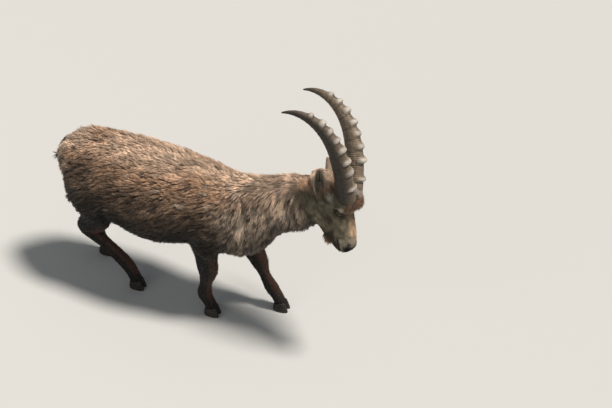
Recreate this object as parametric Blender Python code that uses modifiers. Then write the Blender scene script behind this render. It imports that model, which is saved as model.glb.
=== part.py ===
# Alpine ibex, a young male walking with its head lowered, life size.
# +X is forward, +Y is the animal's left, +Z is up and the soles stand on Z = 0.
import math
import random

import bmesh
import bpy
import numpy as np
from mathutils import Euler, Matrix, Vector
from mathutils.bvhtree import BVHTree

# Driving dimensions, metres and degrees
partName = "alpine_ibex"
originShift = (0.0929, -0.0131, 0.0)
gap = 0.0003
bodyVoxel = 0.010
headVoxel = 0.0055
bodyTriangles = 2600
headTriangles = 1200

# The trunk and neck: x, z, half height, half width and backward lean of each section
trunkStations = (
    (-0.735, 0.590, 0.050, 0.040, 0),
    (-0.700, 0.575, 0.105, 0.085, 0),
    (-0.640, 0.560, 0.156, 0.128, 0),
    (-0.560, 0.549, 0.184, 0.150, 0),
    (-0.460, 0.536, 0.206, 0.162, 0),
    (-0.360, 0.524, 0.218, 0.175, 0),
    (-0.240, 0.525, 0.216, 0.178, 0),
    (-0.130, 0.532, 0.196, 0.164, 0),
    (-0.040, 0.530, 0.193, 0.146, 5),
    (0.050, 0.530, 0.196, 0.122, 15),
    (0.130, 0.571, 0.171, 0.098, 22),
    (0.220, 0.640, 0.130, 0.083, 24),
    (0.310, 0.692, 0.117, 0.083, 27),
    (0.375, 0.730, 0.108, 0.078, 32),
    (0.430, 0.758, 0.080, 0.060, 36),
)
trunkSag, trunkSquare, headSquare = 0.10, 2.15, 2.3

# Limbs: x, y, z, front-to-back radius and side radius of each section.
# The right legs are the ones nearer to the viewer.
limbStations = {
    "foreleg_right": (
        (-0.030, -0.085, 0.560, 0.085, 0.045),
        (-0.040, -0.100, 0.480, 0.085, 0.050),
        (-0.040, -0.100, 0.400, 0.072, 0.046),
        (-0.036, -0.092, 0.320, 0.056, 0.037),
        (-0.028, -0.080, 0.240, 0.047, 0.032),
        (-0.034, -0.074, 0.165, 0.030, 0.022),
        (-0.034, -0.070, 0.100, 0.036, 0.028),
        (-0.014, -0.070, 0.065, 0.030, 0.027),
        (0.004, -0.070, 0.020, 0.030, 0.028),
    ),
    "foreleg_left": (
        (0.000, 0.085, 0.560, 0.085, 0.045),
        (0.015, 0.100, 0.480, 0.085, 0.050),
        (0.040, 0.100, 0.390, 0.066, 0.046),
        (0.085, 0.098, 0.305, 0.052, 0.037),
        (0.138, 0.094, 0.228, 0.044, 0.032),
        (0.172, 0.090, 0.160, 0.029, 0.022),
        (0.208, 0.087, 0.105, 0.034, 0.028),
        (0.238, 0.086, 0.068, 0.029, 0.027),
        (0.262, 0.085, 0.020, 0.030, 0.028),
    ),
    "hindleg_right": (
        (-0.590, -0.070, 0.610, 0.100, 0.060),
        (-0.568, -0.092, 0.500, 0.112, 0.066),
        (-0.535, -0.098, 0.400, 0.090, 0.058),
        (-0.548, -0.085, 0.325, 0.066, 0.042),
        (-0.586, -0.068, 0.266, 0.043, 0.031),
        (-0.499, -0.060, 0.198, 0.032, 0.026),
        (-0.414, -0.054, 0.126, 0.034, 0.028),
        (-0.374, -0.050, 0.073, 0.031, 0.027),
        (-0.350, -0.050, 0.020, 0.030, 0.028),
    ),
    "hindleg_left": (
        (-0.590, 0.070, 0.610, 0.100, 0.060),
        (-0.568, 0.092, 0.500, 0.112, 0.066),
        (-0.552, 0.105, 0.400, 0.088, 0.056),
        (-0.592, 0.105, 0.325, 0.062, 0.042),
        (-0.652, 0.103, 0.262, 0.038, 0.028),
        (-0.634, 0.101, 0.185, 0.025, 0.022),
        (-0.604, 0.100, 0.112, 0.030, 0.026),
        (-0.580, 0.100, 0.070, 0.027, 0.025),
        (-0.556, 0.100, 0.020, 0.030, 0.028),
    ),
}
tailStations = (
    (-0.650, 0.0, 0.668, 0.020, 0.024),
    (-0.697, 0.0, 0.662, 0.024, 0.030),
    (-0.736, 0.0, 0.620, 0.022, 0.032),
    (-0.758, 0.0, 0.558, 0.016, 0.022),
    (-0.766, 0.0, 0.523, 0.004, 0.006),
)

# The head hangs steeply from the poll, leans and turns towards the viewer
headOrigin = (0.400, 0.0, 0.800)
headPitch, headYaw, headLean = 72.0, -7.0, 15.0
# Along the face: distance from the poll, height above the axis, half height, half width
headStations = (
    (-0.062, 0.000, 0.036, 0.034),
    (-0.042, 0.010, 0.060, 0.050),
    (0.000, 0.030, 0.080, 0.062),
    (0.050, 0.038, 0.088, 0.066),
    (0.100, 0.040, 0.088, 0.066),
    (0.150, 0.047, 0.084, 0.059),
    (0.195, 0.058, 0.076, 0.047),
    (0.230, 0.072, 0.060, 0.038),
    (0.257, 0.083, 0.043, 0.036),
    (0.274, 0.086, 0.028, 0.027),
)
eyeSpot = (0.090, 0.050, 0.092)
eyeRadius = 0.0185
lidHalfLength, lidHalfHeight, lidThickness, lidTurn = 0.0165, 0.0090, 0.0034, 30.0
browSpot, browSize = (0.054, 0.0, 0.116), (0.050, 0.064, 0.050)
jowlSpot, jowlSize = (0.112, 0.0, -0.024), (0.062, 0.036, 0.038)
orbitSpot, orbitSize = (0.088, 0.040, 0.092), (0.036, 0.029, 0.030)
earLumpSize = (0.034, 0.020, 0.022)
nostrilSpot, nostrilSize = (0.257, 0.0180, 0.110), (0.0135, 0.0070, 0.0080)
mouthCorner, mouthRadius = (0.212, 0.0, 0.056), 0.0032

# Horns sweep up and back from the forehead in one arc with knobs on the front; the right one is
# a little shorter and set wider
hornLength = {"left": 0.551, "right": 0.530}
hornSplay = {"left": (9.7, 4.0), "right": (17.4, 6.4)}
hornTurn, hornStart, hornCurl = 105.5, 173.9, 2.13
hornBase = (0.045, 0.032, 0.1145)
hornDepth, hornWidth = 0.0400, 0.0296
hornKnobs, hornKnobHeight, hornKnobWidth = 8, 0.0135, 0.0085
hornKnobFirst, hornKnobLast, hornKnobSpacing = 0.136, 0.770, 0.82
hornRings, hornSides = 44, 10
hornTaper, hornTaperCurve, hornKeel = 0.93, 2.39, 0.22

# Ears in the head's own axes: root, aim of the right and the left ear, sizes
earRoot = (0.030, 0.052, 0.010)
earAims = {"right": (-0.92, -0.27, 0.27), "left": (-0.92, 0.33, 0.05)}
earFacing = (0.10, 0.90, 0.42)
earLength, earWidth, earDepth, earThickness = 0.130, 0.025, 0.016, 0.0040

# Locks of coat: the core lies half the coat's depth inside the outline that they reach.
# The inset fades out over a length towards the head and down the legs.
coatInset, coatReach = 0.013, 0.013
neckInsetEnd, neckInsetFade = 0.34, 0.10
legInsetEnd, legInsetFade = 0.28, 0.12
lowestLock = 0.297
lockThickness = 0.008
# Width and thickness at each ring, and step along the lock with its height over the core
lockRings = ((0.75, 1.0), (1.0, 1.0), (0.72, 0.7))
lockSteps = ((0.0, -0.9), (0.34, 0.35), (0.36, 0.75), (0.30, 1.0))
# Start and end along the trunk as fractions, rows, locks in a row, length and half width
trunkLocks = {
    "rump": (0.11, 0.22, 2, 9, 0.150, 0.042),
    "flank": (0.30, 0.57, 4, 12, 0.140, 0.043),
    "shoulder": (0.64, 0.72, 2, 11, 0.120, 0.039),
    "neck": (0.78, 0.91, 3, 9, 0.105, 0.030),
}
forelockRows, forelockPerRow, forelockSpacing, forelockStart = 3, 4, 0.020, 0.056
forelockLength, forelockWidth, forelockReach = 0.050, 0.011, 0.012
beardLocks, beardSpacing, beardStart = 3, 0.010, 0.222
beardLength, beardWidth = 0.052, 0.010
tailLocks, tailLockPlaces = 3, (9, 14)
tailLockLength, tailLockWidth, tailLockReach = 0.065, 0.014, 0.007

# Hooves: two claws side by side with flat soles and a sloping top
hoofHeight, hoofSlope = 0.040, 0.28
# Height, length and width of each ring of a claw as shares of its full size
clawRings = ((0.0, 0.96, 0.95), (0.15, 1.0, 1.0), (0.6, 0.86, 0.97), (1.0, 0.72, 0.90))
clawLength, clawWidth, clawSpacing = 0.033, 0.0140, 0.0150
toeOverhang = 0.010

colours = {
    "coat": ((0.30, 0.20, 0.13), 0.9),
    "coat_neck": ((0.33, 0.23, 0.15), 0.9),
    "face": ((0.22, 0.16, 0.11), 0.85),
    "leg": ((0.07, 0.045, 0.032), 0.85),
    "tail_hair": ((0.10, 0.07, 0.05), 0.9),
    "ear": ((0.20, 0.17, 0.12), 0.85),
    "horn": ((0.17, 0.14, 0.11), 0.6),
    "eye": ((0.12, 0.06, 0.02), 0.1),
    "hoof": ((0.04, 0.035, 0.03), 0.5),
}


def clearScene():
    for thing in list(bpy.data.objects):
        bpy.data.objects.remove(thing, do_unlink=True)


def newCollection(name):
    group = bpy.data.collections.new(name)
    bpy.context.scene.collection.children.link(group)
    return group


def newMaterial(name):
    colour, roughness = colours[name]
    material = bpy.data.materials.new(name)
    material.use_nodes = True
    shader = material.node_tree.nodes["Principled BSDF"]
    shader.inputs["Base Color"].default_value = (*colour, 1.0)
    shader.inputs["Roughness"].default_value = roughness
    shader.inputs["Metallic"].default_value = 0.0
    material.diffuse_color = (*colour, 1.0)
    return material


def meshObject(name, points, faces, group):
    mesh = bpy.data.meshes.new(name)
    mesh.from_pydata([tuple(p) for p in points], [], faces)
    mesh.update()
    thing = bpy.data.objects.new(name, mesh)
    group.objects.link(thing)
    return thing


def spread(stations, count):
    # Reads smooth values between the stations with a Catmull-Rom curve
    rows = np.array(stations, dtype=float)
    last = len(rows) - 1
    place = np.linspace(0, last, count)
    base = np.minimum(place.astype(int), last - 1)
    t = (place - base)[:, None]
    p0 = rows[np.maximum(base - 1, 0)]
    p1 = rows[base]
    p2 = rows[base + 1]
    p3 = rows[np.minimum(base + 2, last)]
    curve = 2 * p1 + (p2 - p0) * t + (2 * p0 - 5 * p1 + 4 * p2 - p3) * t**2
    return 0.5 * (curve + (3 * p1 - p0 - 3 * p2 + p3) * t**3)


def tubeFaces(rings, sides):
    # Quads between rings and a fan to a pole at each end
    faces = []
    for i in range(rings - 1):
        for j in range(sides):
            k = (j + 1) % sides
            faces.append((i * sides + j, i * sides + k, (i + 1) * sides + k, (i + 1) * sides + j))
    first = rings * sides
    top = (rings - 1) * sides
    for j in range(sides):
        k = (j + 1) % sides
        faces.append((first, k, j))
        faces.append((first + 1, top + j, top + k))
    return faces


def tube(name, centres, ups, sidesways, sides, group, sag=0.0, square=2.0):
    # Each ring is an ellipse, or squarer, spanned by its up and side half axes
    angle = np.linspace(0, 2 * np.pi, sides, endpoint=False)
    power = 2.0 / square
    high = np.sign(np.cos(angle)) * np.abs(np.cos(angle)) ** power
    wide = np.sign(np.sin(angle)) * np.abs(np.sin(angle)) ** power * (1 - sag * np.cos(angle))
    rings = centres[:, None, :] + ups[:, None, :] * high[None, :, None]
    rings = rings + sidesways[:, None, :] * wide[None, :, None]
    points = np.concatenate([rings.reshape(-1, 3), centres[:1], centres[-1:]])
    thing = meshObject(name, points, tubeFaces(len(centres), sides), group)
    outward(thing)
    return thing


def outward(thing):
    work = bmesh.new()
    work.from_mesh(thing.data)
    bmesh.ops.recalc_face_normals(work, faces=work.faces)
    bmesh.ops.triangulate(work, faces=work.faces)
    work.to_mesh(thing.data)
    work.free()


def trunkTube(group, count=60, sides=28, inset=0.0):
    rows = spread(trunkStations, count)
    fade = np.clip((neckInsetEnd - rows[:, 0]) / neckInsetFade, 0, 1)
    rows[:, 2:4] -= (inset * fade)[:, None]
    lean = np.radians(rows[:, 4])
    centres = np.stack([rows[:, 0], 0 * lean, rows[:, 1]], axis=1)
    ups = np.stack([-np.sin(lean), 0 * lean, np.cos(lean)], axis=1) * rows[:, 2:3]
    sideways = np.stack([0 * lean, rows[:, 3], 0 * lean], axis=1)
    return tube("trunk", centres, ups, sideways, sides, group, trunkSag, trunkSquare)


def limbTube(name, stations, group, count=40, sides=16, inset=0.0):
    # The ring's front half axis is square to the limb's path and to the Y axis.
    # The inset fades out down the leg, where the coat grows short.
    rows = spread(stations, count)
    fade = np.clip((rows[:, 2] - legInsetEnd) / legInsetFade, 0, 1)
    rows[:, 3:5] -= (inset * fade)[:, None]
    centres = rows[:, :3]
    path = np.gradient(centres, axis=0)
    path /= np.linalg.norm(path, axis=1)[:, None]
    front = np.cross(np.array([[0.0, 1.0, 0.0]]), path)
    front /= np.linalg.norm(front, axis=1)[:, None]
    side = np.cross(path, front)
    return tube(name, centres, front * rows[:, 3:4], side * rows[:, 4:5], sides, group)


def headMatrix():
    turn = Matrix.Rotation(math.radians(headYaw), 4, "Z")
    lean = Matrix.Rotation(math.radians(-headLean), 4, "X")
    pitch = Matrix.Rotation(math.radians(headPitch), 4, "Y")
    return Matrix.Translation(headOrigin) @ turn @ lean @ pitch


def headTube(group, count=44, sides=24):
    rows = spread(headStations, count)
    zero = 0 * rows[:, 0]
    centres = np.stack([rows[:, 0], zero, rows[:, 1]], axis=1)
    ups = np.stack([zero, zero, rows[:, 2]], axis=1)
    sideways = np.stack([zero, rows[:, 3], zero], axis=1)
    skull = tube("skull", centres, ups, sideways, sides, group, 0.0, headSquare)
    skull.data.transform(headMatrix())
    return skull


def applyModifiers(thing):
    shape = thing.evaluated_get(bpy.context.evaluated_depsgraph_get())
    mesh = bpy.data.meshes.new_from_object(shape)
    thing.modifiers.clear()
    old = thing.data
    thing.data = mesh
    bpy.data.meshes.remove(old)


def joined(name, things, group):
    work = bmesh.new()
    for thing in things:
        work.from_mesh(thing.data)
    mesh = bpy.data.meshes.new(name)
    work.to_mesh(mesh)
    work.free()
    for thing in things:
        bpy.data.objects.remove(thing, do_unlink=True)
    result = bpy.data.objects.new(name, mesh)
    group.objects.link(result)
    return result


def melt(thing, voxel, rounds, triangles):
    # One closed skin around the overlapping tubes, softened and thinned out
    remesh = thing.modifiers.new("skin", "REMESH")
    remesh.mode = "VOXEL"
    remesh.voxel_size = voxel
    soften = thing.modifiers.new("soften", "SMOOTH")
    soften.factor = 0.5
    soften.iterations = rounds
    applyModifiers(thing)
    faceCount = sum(len(face.vertices) - 2 for face in thing.data.polygons)
    thin = thing.modifiers.new("thin", "DECIMATE")
    thin.ratio = triangles / faceCount
    thin.use_collapse_triangulate = True
    applyModifiers(thing)


def combine(thing, operands, operation, solver="EXACT"):
    # One Boolean with a whole collection, which is emptied afterwards
    cut = thing.modifiers.new("fuse", "BOOLEAN")
    cut.operation = operation
    cut.solver = solver
    cut.operand_type = "COLLECTION"
    cut.collection = operands
    applyModifiers(thing)
    for piece in list(operands.objects):
        bpy.data.objects.remove(piece, do_unlink=True)


def looseParts(thing):
    # The closed surfaces of a mesh, the largest first, as lists of faces
    work = bmesh.new()
    work.from_mesh(thing.data)
    bmesh.ops.triangulate(work, faces=work.faces)
    seen = set()
    parts = []
    for start in work.faces:
        if start in seen:
            continue
        seen.add(start)
        stack = [start]
        part = []
        while stack:
            face = stack.pop()
            part.append(face)
            for edge in face.edges:
                for other in edge.link_faces:
                    if other not in seen:
                        seen.add(other)
                        stack.append(other)
        points = np.array([[v.co for v in face.verts] for face in part])
        size = np.einsum("ij,ij->i", points[:, 0], np.cross(points[:, 1], points[:, 2])).sum() / 6
        parts.append((size, points))
    work.free()
    return sorted(parts, key=lambda part: -part[0])


def fromTriangles(name, points, group):
    flat = points.reshape(-1, 3)
    faces = np.arange(len(flat)).reshape(-1, 3).tolist()
    thing = meshObject(name, flat, faces, group)
    work = bmesh.new()
    work.from_mesh(thing.data)
    bmesh.ops.remove_doubles(work, verts=work.verts, dist=1e-7)
    work.to_mesh(thing.data)
    work.free()
    return thing


def keepLargest(thing):
    size, points = looseParts(thing)[0]
    name, group = thing.name, thing.users_collection[0]
    bpy.data.objects.remove(thing, do_unlink=True)
    return fromTriangles(name, points, group)


def box(name, centre, size, turn, group):
    bpy.ops.mesh.primitive_cube_add(size=1.0)
    thing = bpy.context.object
    thing.name = name
    frame = Matrix.LocRotScale(Vector(centre), Euler([math.radians(a) for a in turn]), Vector(size))
    thing.data.transform(frame)
    moveTo(thing, group)
    return thing


def moveTo(thing, group):
    for old in list(thing.users_collection):
        old.objects.unlink(thing)
    group.objects.link(thing)


# Cuts between nodes: centre, turn in degrees and size of the thin slab
bodyCuts = {
    "neck": ((0.045, 0.0, 0.600), (0, -20, 0), (gap, 0.50, 0.62)),
    "foreleg_right": ((-0.040, -0.110, 0.325), (0, 0, 0), (0.24, 0.18, gap)),
    "foreleg_left": ((0.060, 0.110, 0.345), (0, 0, 0), (0.24, 0.18, gap)),
    "hindleg_right": ((-0.565, -0.120, 0.318), (0, 0, 0), (0.24, 0.22, gap)),
    "hindleg_left": ((-0.590, 0.120, 0.318), (0, 0, 0), (0.24, 0.22, gap)),
}
headCut = ((0.345, 0.0, 0.720), (0, -35, 0), (gap, 0.40, 0.50))
headCrop = -0.05
hoofCutSize = 0.12
# A point inside each node of the body tells its piece from the others
bodySeeds = {
    "torso": (-0.30, 0.0, 0.53),
    "neck": (0.20, 0.0, 0.65),
    "foreleg_right": (-0.034, -0.078, 0.20),
    "foreleg_left": (0.150, 0.094, 0.20),
    "hindleg_right": (-0.500, -0.060, 0.19),
    "hindleg_left": (-0.634, 0.101, 0.19),
}


def lieOfCoat(point):
    # Backwards along the back, more and more downwards on the sides, neck and thighs
    x, z = point.x, point.z
    neck = min(max((x + 0.02) / 0.12, 0), 1)
    rump = min(max((-0.50 - x) / 0.15, 0), 1)
    low = min(max((0.72 - z) / 0.30, 0), 1)
    down = 0.15 + 0.55 * low + neck * (0.25 + 0.9 * low) + rump * (0.30 + 0.6 * low)
    return Vector((-1.0 + 0.45 * neck * low, 0.0, -down))


def taperedLock(path, width, group):
    # A three-sided lock that ends in a point, from rows of spot, outward normal and heading
    points = []
    for (spot, normal, heading), (wide, thick) in zip(path, lockRings):
        side = heading.cross(normal) * (width * wide)
        rise = normal * (lockThickness * thick)
        points += [spot - side - rise * 0.4, spot + rise * 0.6, spot + side - rise * 0.4]
    points.append(path[-1][0])
    faces = [(0, 1, 2)]
    for first in (0, 3):
        for j in range(3):
            k = (j + 1) % 3
            faces.append((first + j, first + k, first + 3 + k, first + 3 + j))
    for j in range(3):
        faces.append((6 + j, 6 + (j + 1) % 3, 9))
    thing = meshObject("lock", points, faces, group)
    outward(thing)
    return thing


def lock(root, lie, tree, size, group, curl):
    # Its root is sunk in the core, its middle follows the surface and its tip stands off it
    length, width, reach = size
    heading = lie.normalized()
    spot = root
    path = []
    for share, height in lockSteps:
        spot, normal = tree.find_nearest(spot + heading * (length * share))[:2]
        heading = (heading - normal * heading.dot(normal)).normalized()
        path.append((spot + normal * (height * reach), normal, heading))
        heading = (heading + heading.cross(normal) * curl).normalized()
    return taperedLock(path, width, group)


def rootOnTrunk(share, angle, tree):
    # The place on the core at a share of the trunk's length and an angle round it
    row = spread(trunkStations, 101)[int(round(share * 100))]
    lean = math.radians(row[4])
    centre = Vector((row[0], 0, row[1]))
    up = Vector((-math.sin(lean), 0, math.cos(lean)))
    ray = up * (row[2] * math.cos(angle)) + Vector((0, row[3] * math.sin(angle), 0))
    return tree.ray_cast(centre + ray * 1.6, -ray.normalized())[0]


def surfaceOf(thing):
    return BVHTree.FromObject(thing, bpy.context.evaluated_depsgraph_get())


def coatLocks(body, avoid, group):
    # Staggered rings of locks down the trunk and neck, without those that meet a cut
    draw = random.Random(7)
    tree = surfaceOf(body)
    for start, end, rows, around, length, width in trunkLocks.values():
        for row in range(rows):
            for i in range(around):
                share = start + (end - start) * row / (rows - 1) + draw.uniform(-0.008, 0.008)
                turn = (i + 0.5 * (row % 2) + draw.uniform(-0.12, 0.12)) / around
                root = rootOnTrunk(share, 2 * math.pi * turn, tree)
                scale = draw.uniform(0.85, 1.15)
                curl = draw.uniform(-0.25, 0.25)
                if root is None:
                    continue
                size = (length * scale, width * scale, coatReach)
                piece = lock(root, lieOfCoat(root), tree, size, group, curl)
                low = min(v.co.z for v in piece.data.vertices)
                reach = surfaceOf(piece)
                if low < lowestLock or any(reach.overlap(other) for other in avoid):
                    bpy.data.objects.remove(piece, do_unlink=True)


def tailCoat(tail, group):
    # Rings of locks that point down the tail
    draw = random.Random(11)
    tree = surfaceOf(tail)
    rows = spread(tailStations, 21)[:, :3]
    for place in tailLockPlaces:
        middle = Vector(rows[place])
        ahead = Vector(rows[place + 3]) - middle
        for i in range(tailLocks):
            turn = 2 * math.pi * (i + draw.uniform(-0.1, 0.1) + 0.1 * place) / tailLocks
            out = Vector((math.cos(turn), math.sin(turn), math.cos(turn))).normalized()
            root = tree.find_nearest(middle + out * tailLockWidth * 2)[0]
            lock(root, ahead, tree, (tailLockLength, tailLockWidth, tailLockReach), group, 0.0)


def foreLocks(tree, group):
    # Staggered rows that fall from between the horns over the brow
    draw = random.Random(5)
    frame = headMatrix()
    for row in range(forelockRows):
        for i in range(forelockPerRow):
            column = i - forelockPerRow / 2 + 0.25 + 0.5 * (row % 2)
            y = column * forelockSpacing + draw.uniform(-0.003, 0.003)
            x = forelockStart + forelockSpacing * row
            root = tree.find_nearest(frame @ Vector((x, y, 0.20)))[0]
            lie = frame.to_3x3() @ Vector((1, y * 9, 0))
            length = forelockLength * draw.uniform(0.85, 1.1)
            size = (length, forelockWidth, forelockReach)
            lock(root, lie, tree, size, group, draw.uniform(-0.2, 0.2))


def beard(tree, group):
    # Free locks that hang straight down from the chin, sunk in the jaw at their roots
    draw = random.Random(9)
    frame = headMatrix()
    for i in range(beardLocks):
        y = (i - (beardLocks - 1) / 2) * beardSpacing
        root = tree.find_nearest(frame @ Vector((beardStart - 0.006 * (i % 2), y, -0.02)))[0]
        drop = Vector((draw.uniform(-0.25, 0.0), draw.uniform(-0.12, 0.12), -1)).normalized()
        facing = Vector((0.3 * (i - 1), -1, 0))
        facing = (facing - drop * facing.dot(drop)).normalized()
        path = [(root + drop * (beardLength * share), facing, drop) for share in (-0.3, 0.15, 0.45, 0.7)]
        taperedLock(path, beardWidth, group)


def hoofFrame(name):
    # The last station of a leg gives the middle of its hoof
    x, y = limbStations[name][-1][:2]
    return Vector((x, y, 0.0))


def bodyPieces(parts, work):
    # The trunk and legs melt into one skin that thin slabs part into nodes
    tubes = [trunkTube(work, inset=coatInset)]
    for name, stations in limbStations.items():
        tubes.append(limbTube(name, stations, work, inset=coatInset))
    body = joined("body", tubes, work)
    melt(body, bodyVoxel, 6, bodyTriangles)
    tail = tailPiece(body, parts)
    slabs = newCollection("slabs")
    for name, (centre, turn, size) in bodyCuts.items():
        box(name, centre, size, turn, slabs)
    avoid = [surfaceOf(slab) for slab in slabs.objects if "leg" in slab.name]
    avoid.append(surfaceOf(grownCopy(tail, 2 * gap, work)))
    locks = newCollection("locks")
    coatLocks(body, avoid, locks)
    combine(body, locks, "UNION", "MANIFOLD")
    box("head", *[headCut[i] for i in (0, 2, 1)], slabs)
    for name in limbStations:
        tilt = -math.degrees(math.atan(hoofSlope))
        centre = hoofFrame(name) + Vector((0, 0, hoofHeight + gap))
        box(name, centre, (hoofCutSize, hoofCutSize, gap), (0, tilt, 0), slabs)
    combine(body, slabs, "DIFFERENCE", "MANIFOLD")
    pieces = [points for size, points in looseParts(body)]
    bpy.data.objects.remove(body, do_unlink=True)
    for name, seed in bodySeeds.items():
        nearest = min(pieces, key=lambda points: seedDistance(points, seed))
        fromTriangles(name, nearest, parts)


def grownCopy(thing, amount, group):
    # The same surface moved outwards by the amount
    copy = bpy.data.objects.new(thing.name + "_grown", thing.data.copy())
    group.objects.link(copy)
    swell = copy.modifiers.new("swell", "DISPLACE")
    swell.strength = amount
    swell.mid_level = 0.0
    applyModifiers(copy)
    return copy


def tailPiece(body, parts):
    # The tail is cut clear of the rump that it hangs from
    tail = limbTube("tail", tailStations, parts, 14, 10)
    locks = newCollection("tail_locks")
    tailCoat(tail, locks)
    combine(tail, locks, "UNION", "MANIFOLD")
    rump = newCollection("rump")
    grownCopy(body, 1.3 * gap, rump)
    combine(tail, rump, "DIFFERENCE", "MANIFOLD")
    return keepLargest(tail)


def seedDistance(points, seed):
    # Zero for the piece that holds the seed, judged by its box, smallest box first
    low = points.reshape(-1, 3).min(axis=0)
    high = points.reshape(-1, 3).max(axis=0)
    outside = np.maximum(np.maximum(low - seed, np.array(seed) - high), 0)
    return float(outside.sum() * 100 + (high - low).sum())


def ball(name, spot, size, group, segments=12, rings=8):
    bpy.ops.mesh.primitive_uv_sphere_add(segments=segments, ring_count=rings, radius=1.0)
    thing = bpy.context.object
    thing.name = name
    thing.data.transform(Matrix.LocRotScale(Vector(spot), None, Vector(size)))
    moveTo(thing, group)
    return thing


def mirrored(spot, side):
    # A spot given for the left side, on the side asked for
    sign = 1 if side == "left" else -1
    return Vector((spot[0], spot[1] * sign, spot[2]))


def hornTube(side, group):
    # Ellipses along an arc that turns evenly, fuller in front, with knobs there
    t = np.linspace(0, 1, hornRings)
    heading = np.radians(hornStart + hornTurn * t**hornCurl)
    splay = np.radians(np.interp(t, (0, 1), hornSplay[side]))
    out = 1 if side == "left" else -1
    path = np.stack([np.cos(heading) * np.cos(splay), out * np.sin(splay),
                     np.sin(heading) * np.cos(splay)], axis=1)
    step = hornLength[side] / (hornRings - 1)
    centres = np.cumsum(path * step, axis=0) - path[0] * step
    centres = centres + np.array(mirrored(hornBase, side))
    front = np.stack([np.sin(heading), 0 * t, -np.cos(heading)], axis=1)
    across = np.cross(path, front)
    size = 1 - hornTaper * t**hornTaperCurve
    angle = np.linspace(0, 2 * np.pi, hornSides, endpoint=False)
    places = np.linspace(0, 1, hornKnobs) ** hornKnobSpacing
    places = hornKnobFirst + (hornKnobLast - hornKnobFirst) * places
    bumps = np.exp(-(((t[:, None] - places) * hornLength[side] / hornKnobWidth) ** 2)).sum(axis=1)
    facing = np.clip(np.cos(angle), 0, 1) ** 0.6
    knob = (bumps * hornKnobHeight * (0.45 + 0.55 * size))[:, None] * facing[None, :]
    deep = (hornDepth * size[:, None] + knob) * np.cos(angle)
    wide = (hornWidth * size[:, None] + 0.3 * knob) * np.sin(angle)
    wide = wide * (1 + hornKeel * np.cos(angle))
    rings = centres[:, None] + front[:, None] * deep[..., None] + across[:, None] * wide[..., None]
    points = np.concatenate([rings.reshape(-1, 3), centres[:1], centres[-1:]])
    horn = meshObject("horn_" + side, points, tubeFaces(hornRings, hornSides), group)
    outward(horn)
    horn.data.transform(headMatrix())
    return horn


def earShell(side, group, rings=11, sides=7):
    # A cupped leaf: each section is a crescent, filled up towards the root
    t = np.linspace(0, 1, rings)
    aim = Vector(earAims[side]).normalized()
    facing = mirrored(earFacing, side)
    facing = (facing - aim * facing.dot(aim)).normalized()
    across = aim.cross(facing)
    wide = earWidth * np.sin(np.pi * np.clip(0.16 + 0.80 * t, 0, 1)) ** 0.75
    wide[-1] = 0.0015
    deep = earDepth * (1 - 0.75 * t)
    thick = earThickness * (1 - 0.55 * t)
    filled = np.clip(1 - t * 4.5, 0, 1)
    arc = np.linspace(-1, 1, sides)
    back = np.stack([wide[:, None] * arc, -deep[:, None] * (1 - arc**2)], axis=2)
    inner = np.stack([(wide - thick * 0.6)[:, None] * arc[::-1],
                      -(deep[:, None] * (1 - arc**2)) + thick[:, None]], axis=2)
    inner[..., 1] += filled[:, None] * deep[:, None] * (1.15 - arc**2)
    loop = np.concatenate([back, inner], axis=1)
    root = mirrored(earRoot, side)
    bend = -0.010 * t**2
    centres = np.array(root)[None] + np.outer(t * earLength, np.array(aim))
    centres = centres + np.outer(bend, np.array(facing))
    rings3 = centres[:, None] + loop[..., :1] * np.array(across) + loop[..., 1:] * np.array(facing)
    points = np.concatenate([rings3.reshape(-1, 3), rings3[:1].mean(axis=1), rings3[-1:].mean(axis=1)])
    ear = meshObject("ear_" + side, points, tubeFaces(rings, 2 * sides), group)
    outward(ear)
    ear.data.transform(headMatrix())
    return ear


def almond(turn, inset):
    # The eye's opening, long towards the nose and the ear, turned up towards the horn
    along = (lidHalfLength - inset) * np.cos(turn)
    high = (lidHalfHeight - inset) * np.sin(turn) * (1 + 0.10 * np.cos(turn))
    lean = math.radians(lidTurn)
    return along * math.cos(lean) - high * math.sin(lean), along * math.sin(lean) + high * math.cos(lean)


def lidRing(side, group, count=16, sides=5):
    # A rim that follows the almond opening over the eyeball
    turn = np.linspace(0, 2 * np.pi, count, endpoint=False)
    along, high = almond(turn, 0.0)
    reach = eyeRadius + 0.0006
    out = np.sqrt(np.maximum(reach**2 - along**2 - high**2, 0))
    sign = 1 if side == "left" else -1
    centres = np.array(mirrored(eyeSpot, side)) + np.stack([along, sign * out, high], axis=1)
    path = np.roll(centres, -1, axis=0) - np.roll(centres, 1, axis=0)
    path /= np.linalg.norm(path, axis=1)[:, None]
    outwards = centres - np.array(mirrored(eyeSpot, side))
    outwards /= np.linalg.norm(outwards, axis=1)[:, None]
    flat = np.cross(path, outwards)
    angle = np.linspace(0, 2 * np.pi, sides, endpoint=False)
    rings = centres[:, None] + lidThickness * (
        outwards[:, None] * np.cos(angle)[None, :, None] + flat[:, None] * np.sin(angle)[None, :, None])
    faces = []
    for i in range(count):
        n = (i + 1) % count
        for j in range(sides):
            k = (j + 1) % sides
            faces.append((i * sides + j, i * sides + k, n * sides + k, n * sides + j))
    ring = meshObject("lid_" + side, rings.reshape(-1, 3), faces, group)
    outward(ring)
    ring.data.transform(headMatrix())
    return ring


def lidOpening(side, group, count=14):
    # An almond prism that lays the eyeball open between the lids
    turn = np.linspace(0, 2 * np.pi, count, endpoint=False)
    along, high = almond(turn, 0.001)
    near, far = eyeRadius * 0.45, eyeRadius * 1.8
    sign = 1 if side == "left" else -1
    spot = np.array(mirrored(eyeSpot, side))
    rings = np.stack([spot + np.stack([along, 0 * along + sign * out, high], axis=1)
                      for out in (near, far)])
    points = np.concatenate([rings.reshape(-1, 3), rings.mean(axis=1)])
    prism = meshObject("opening_" + side, points, tubeFaces(2, count), group)
    outward(prism)
    prism.data.transform(headMatrix())
    return prism


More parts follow.
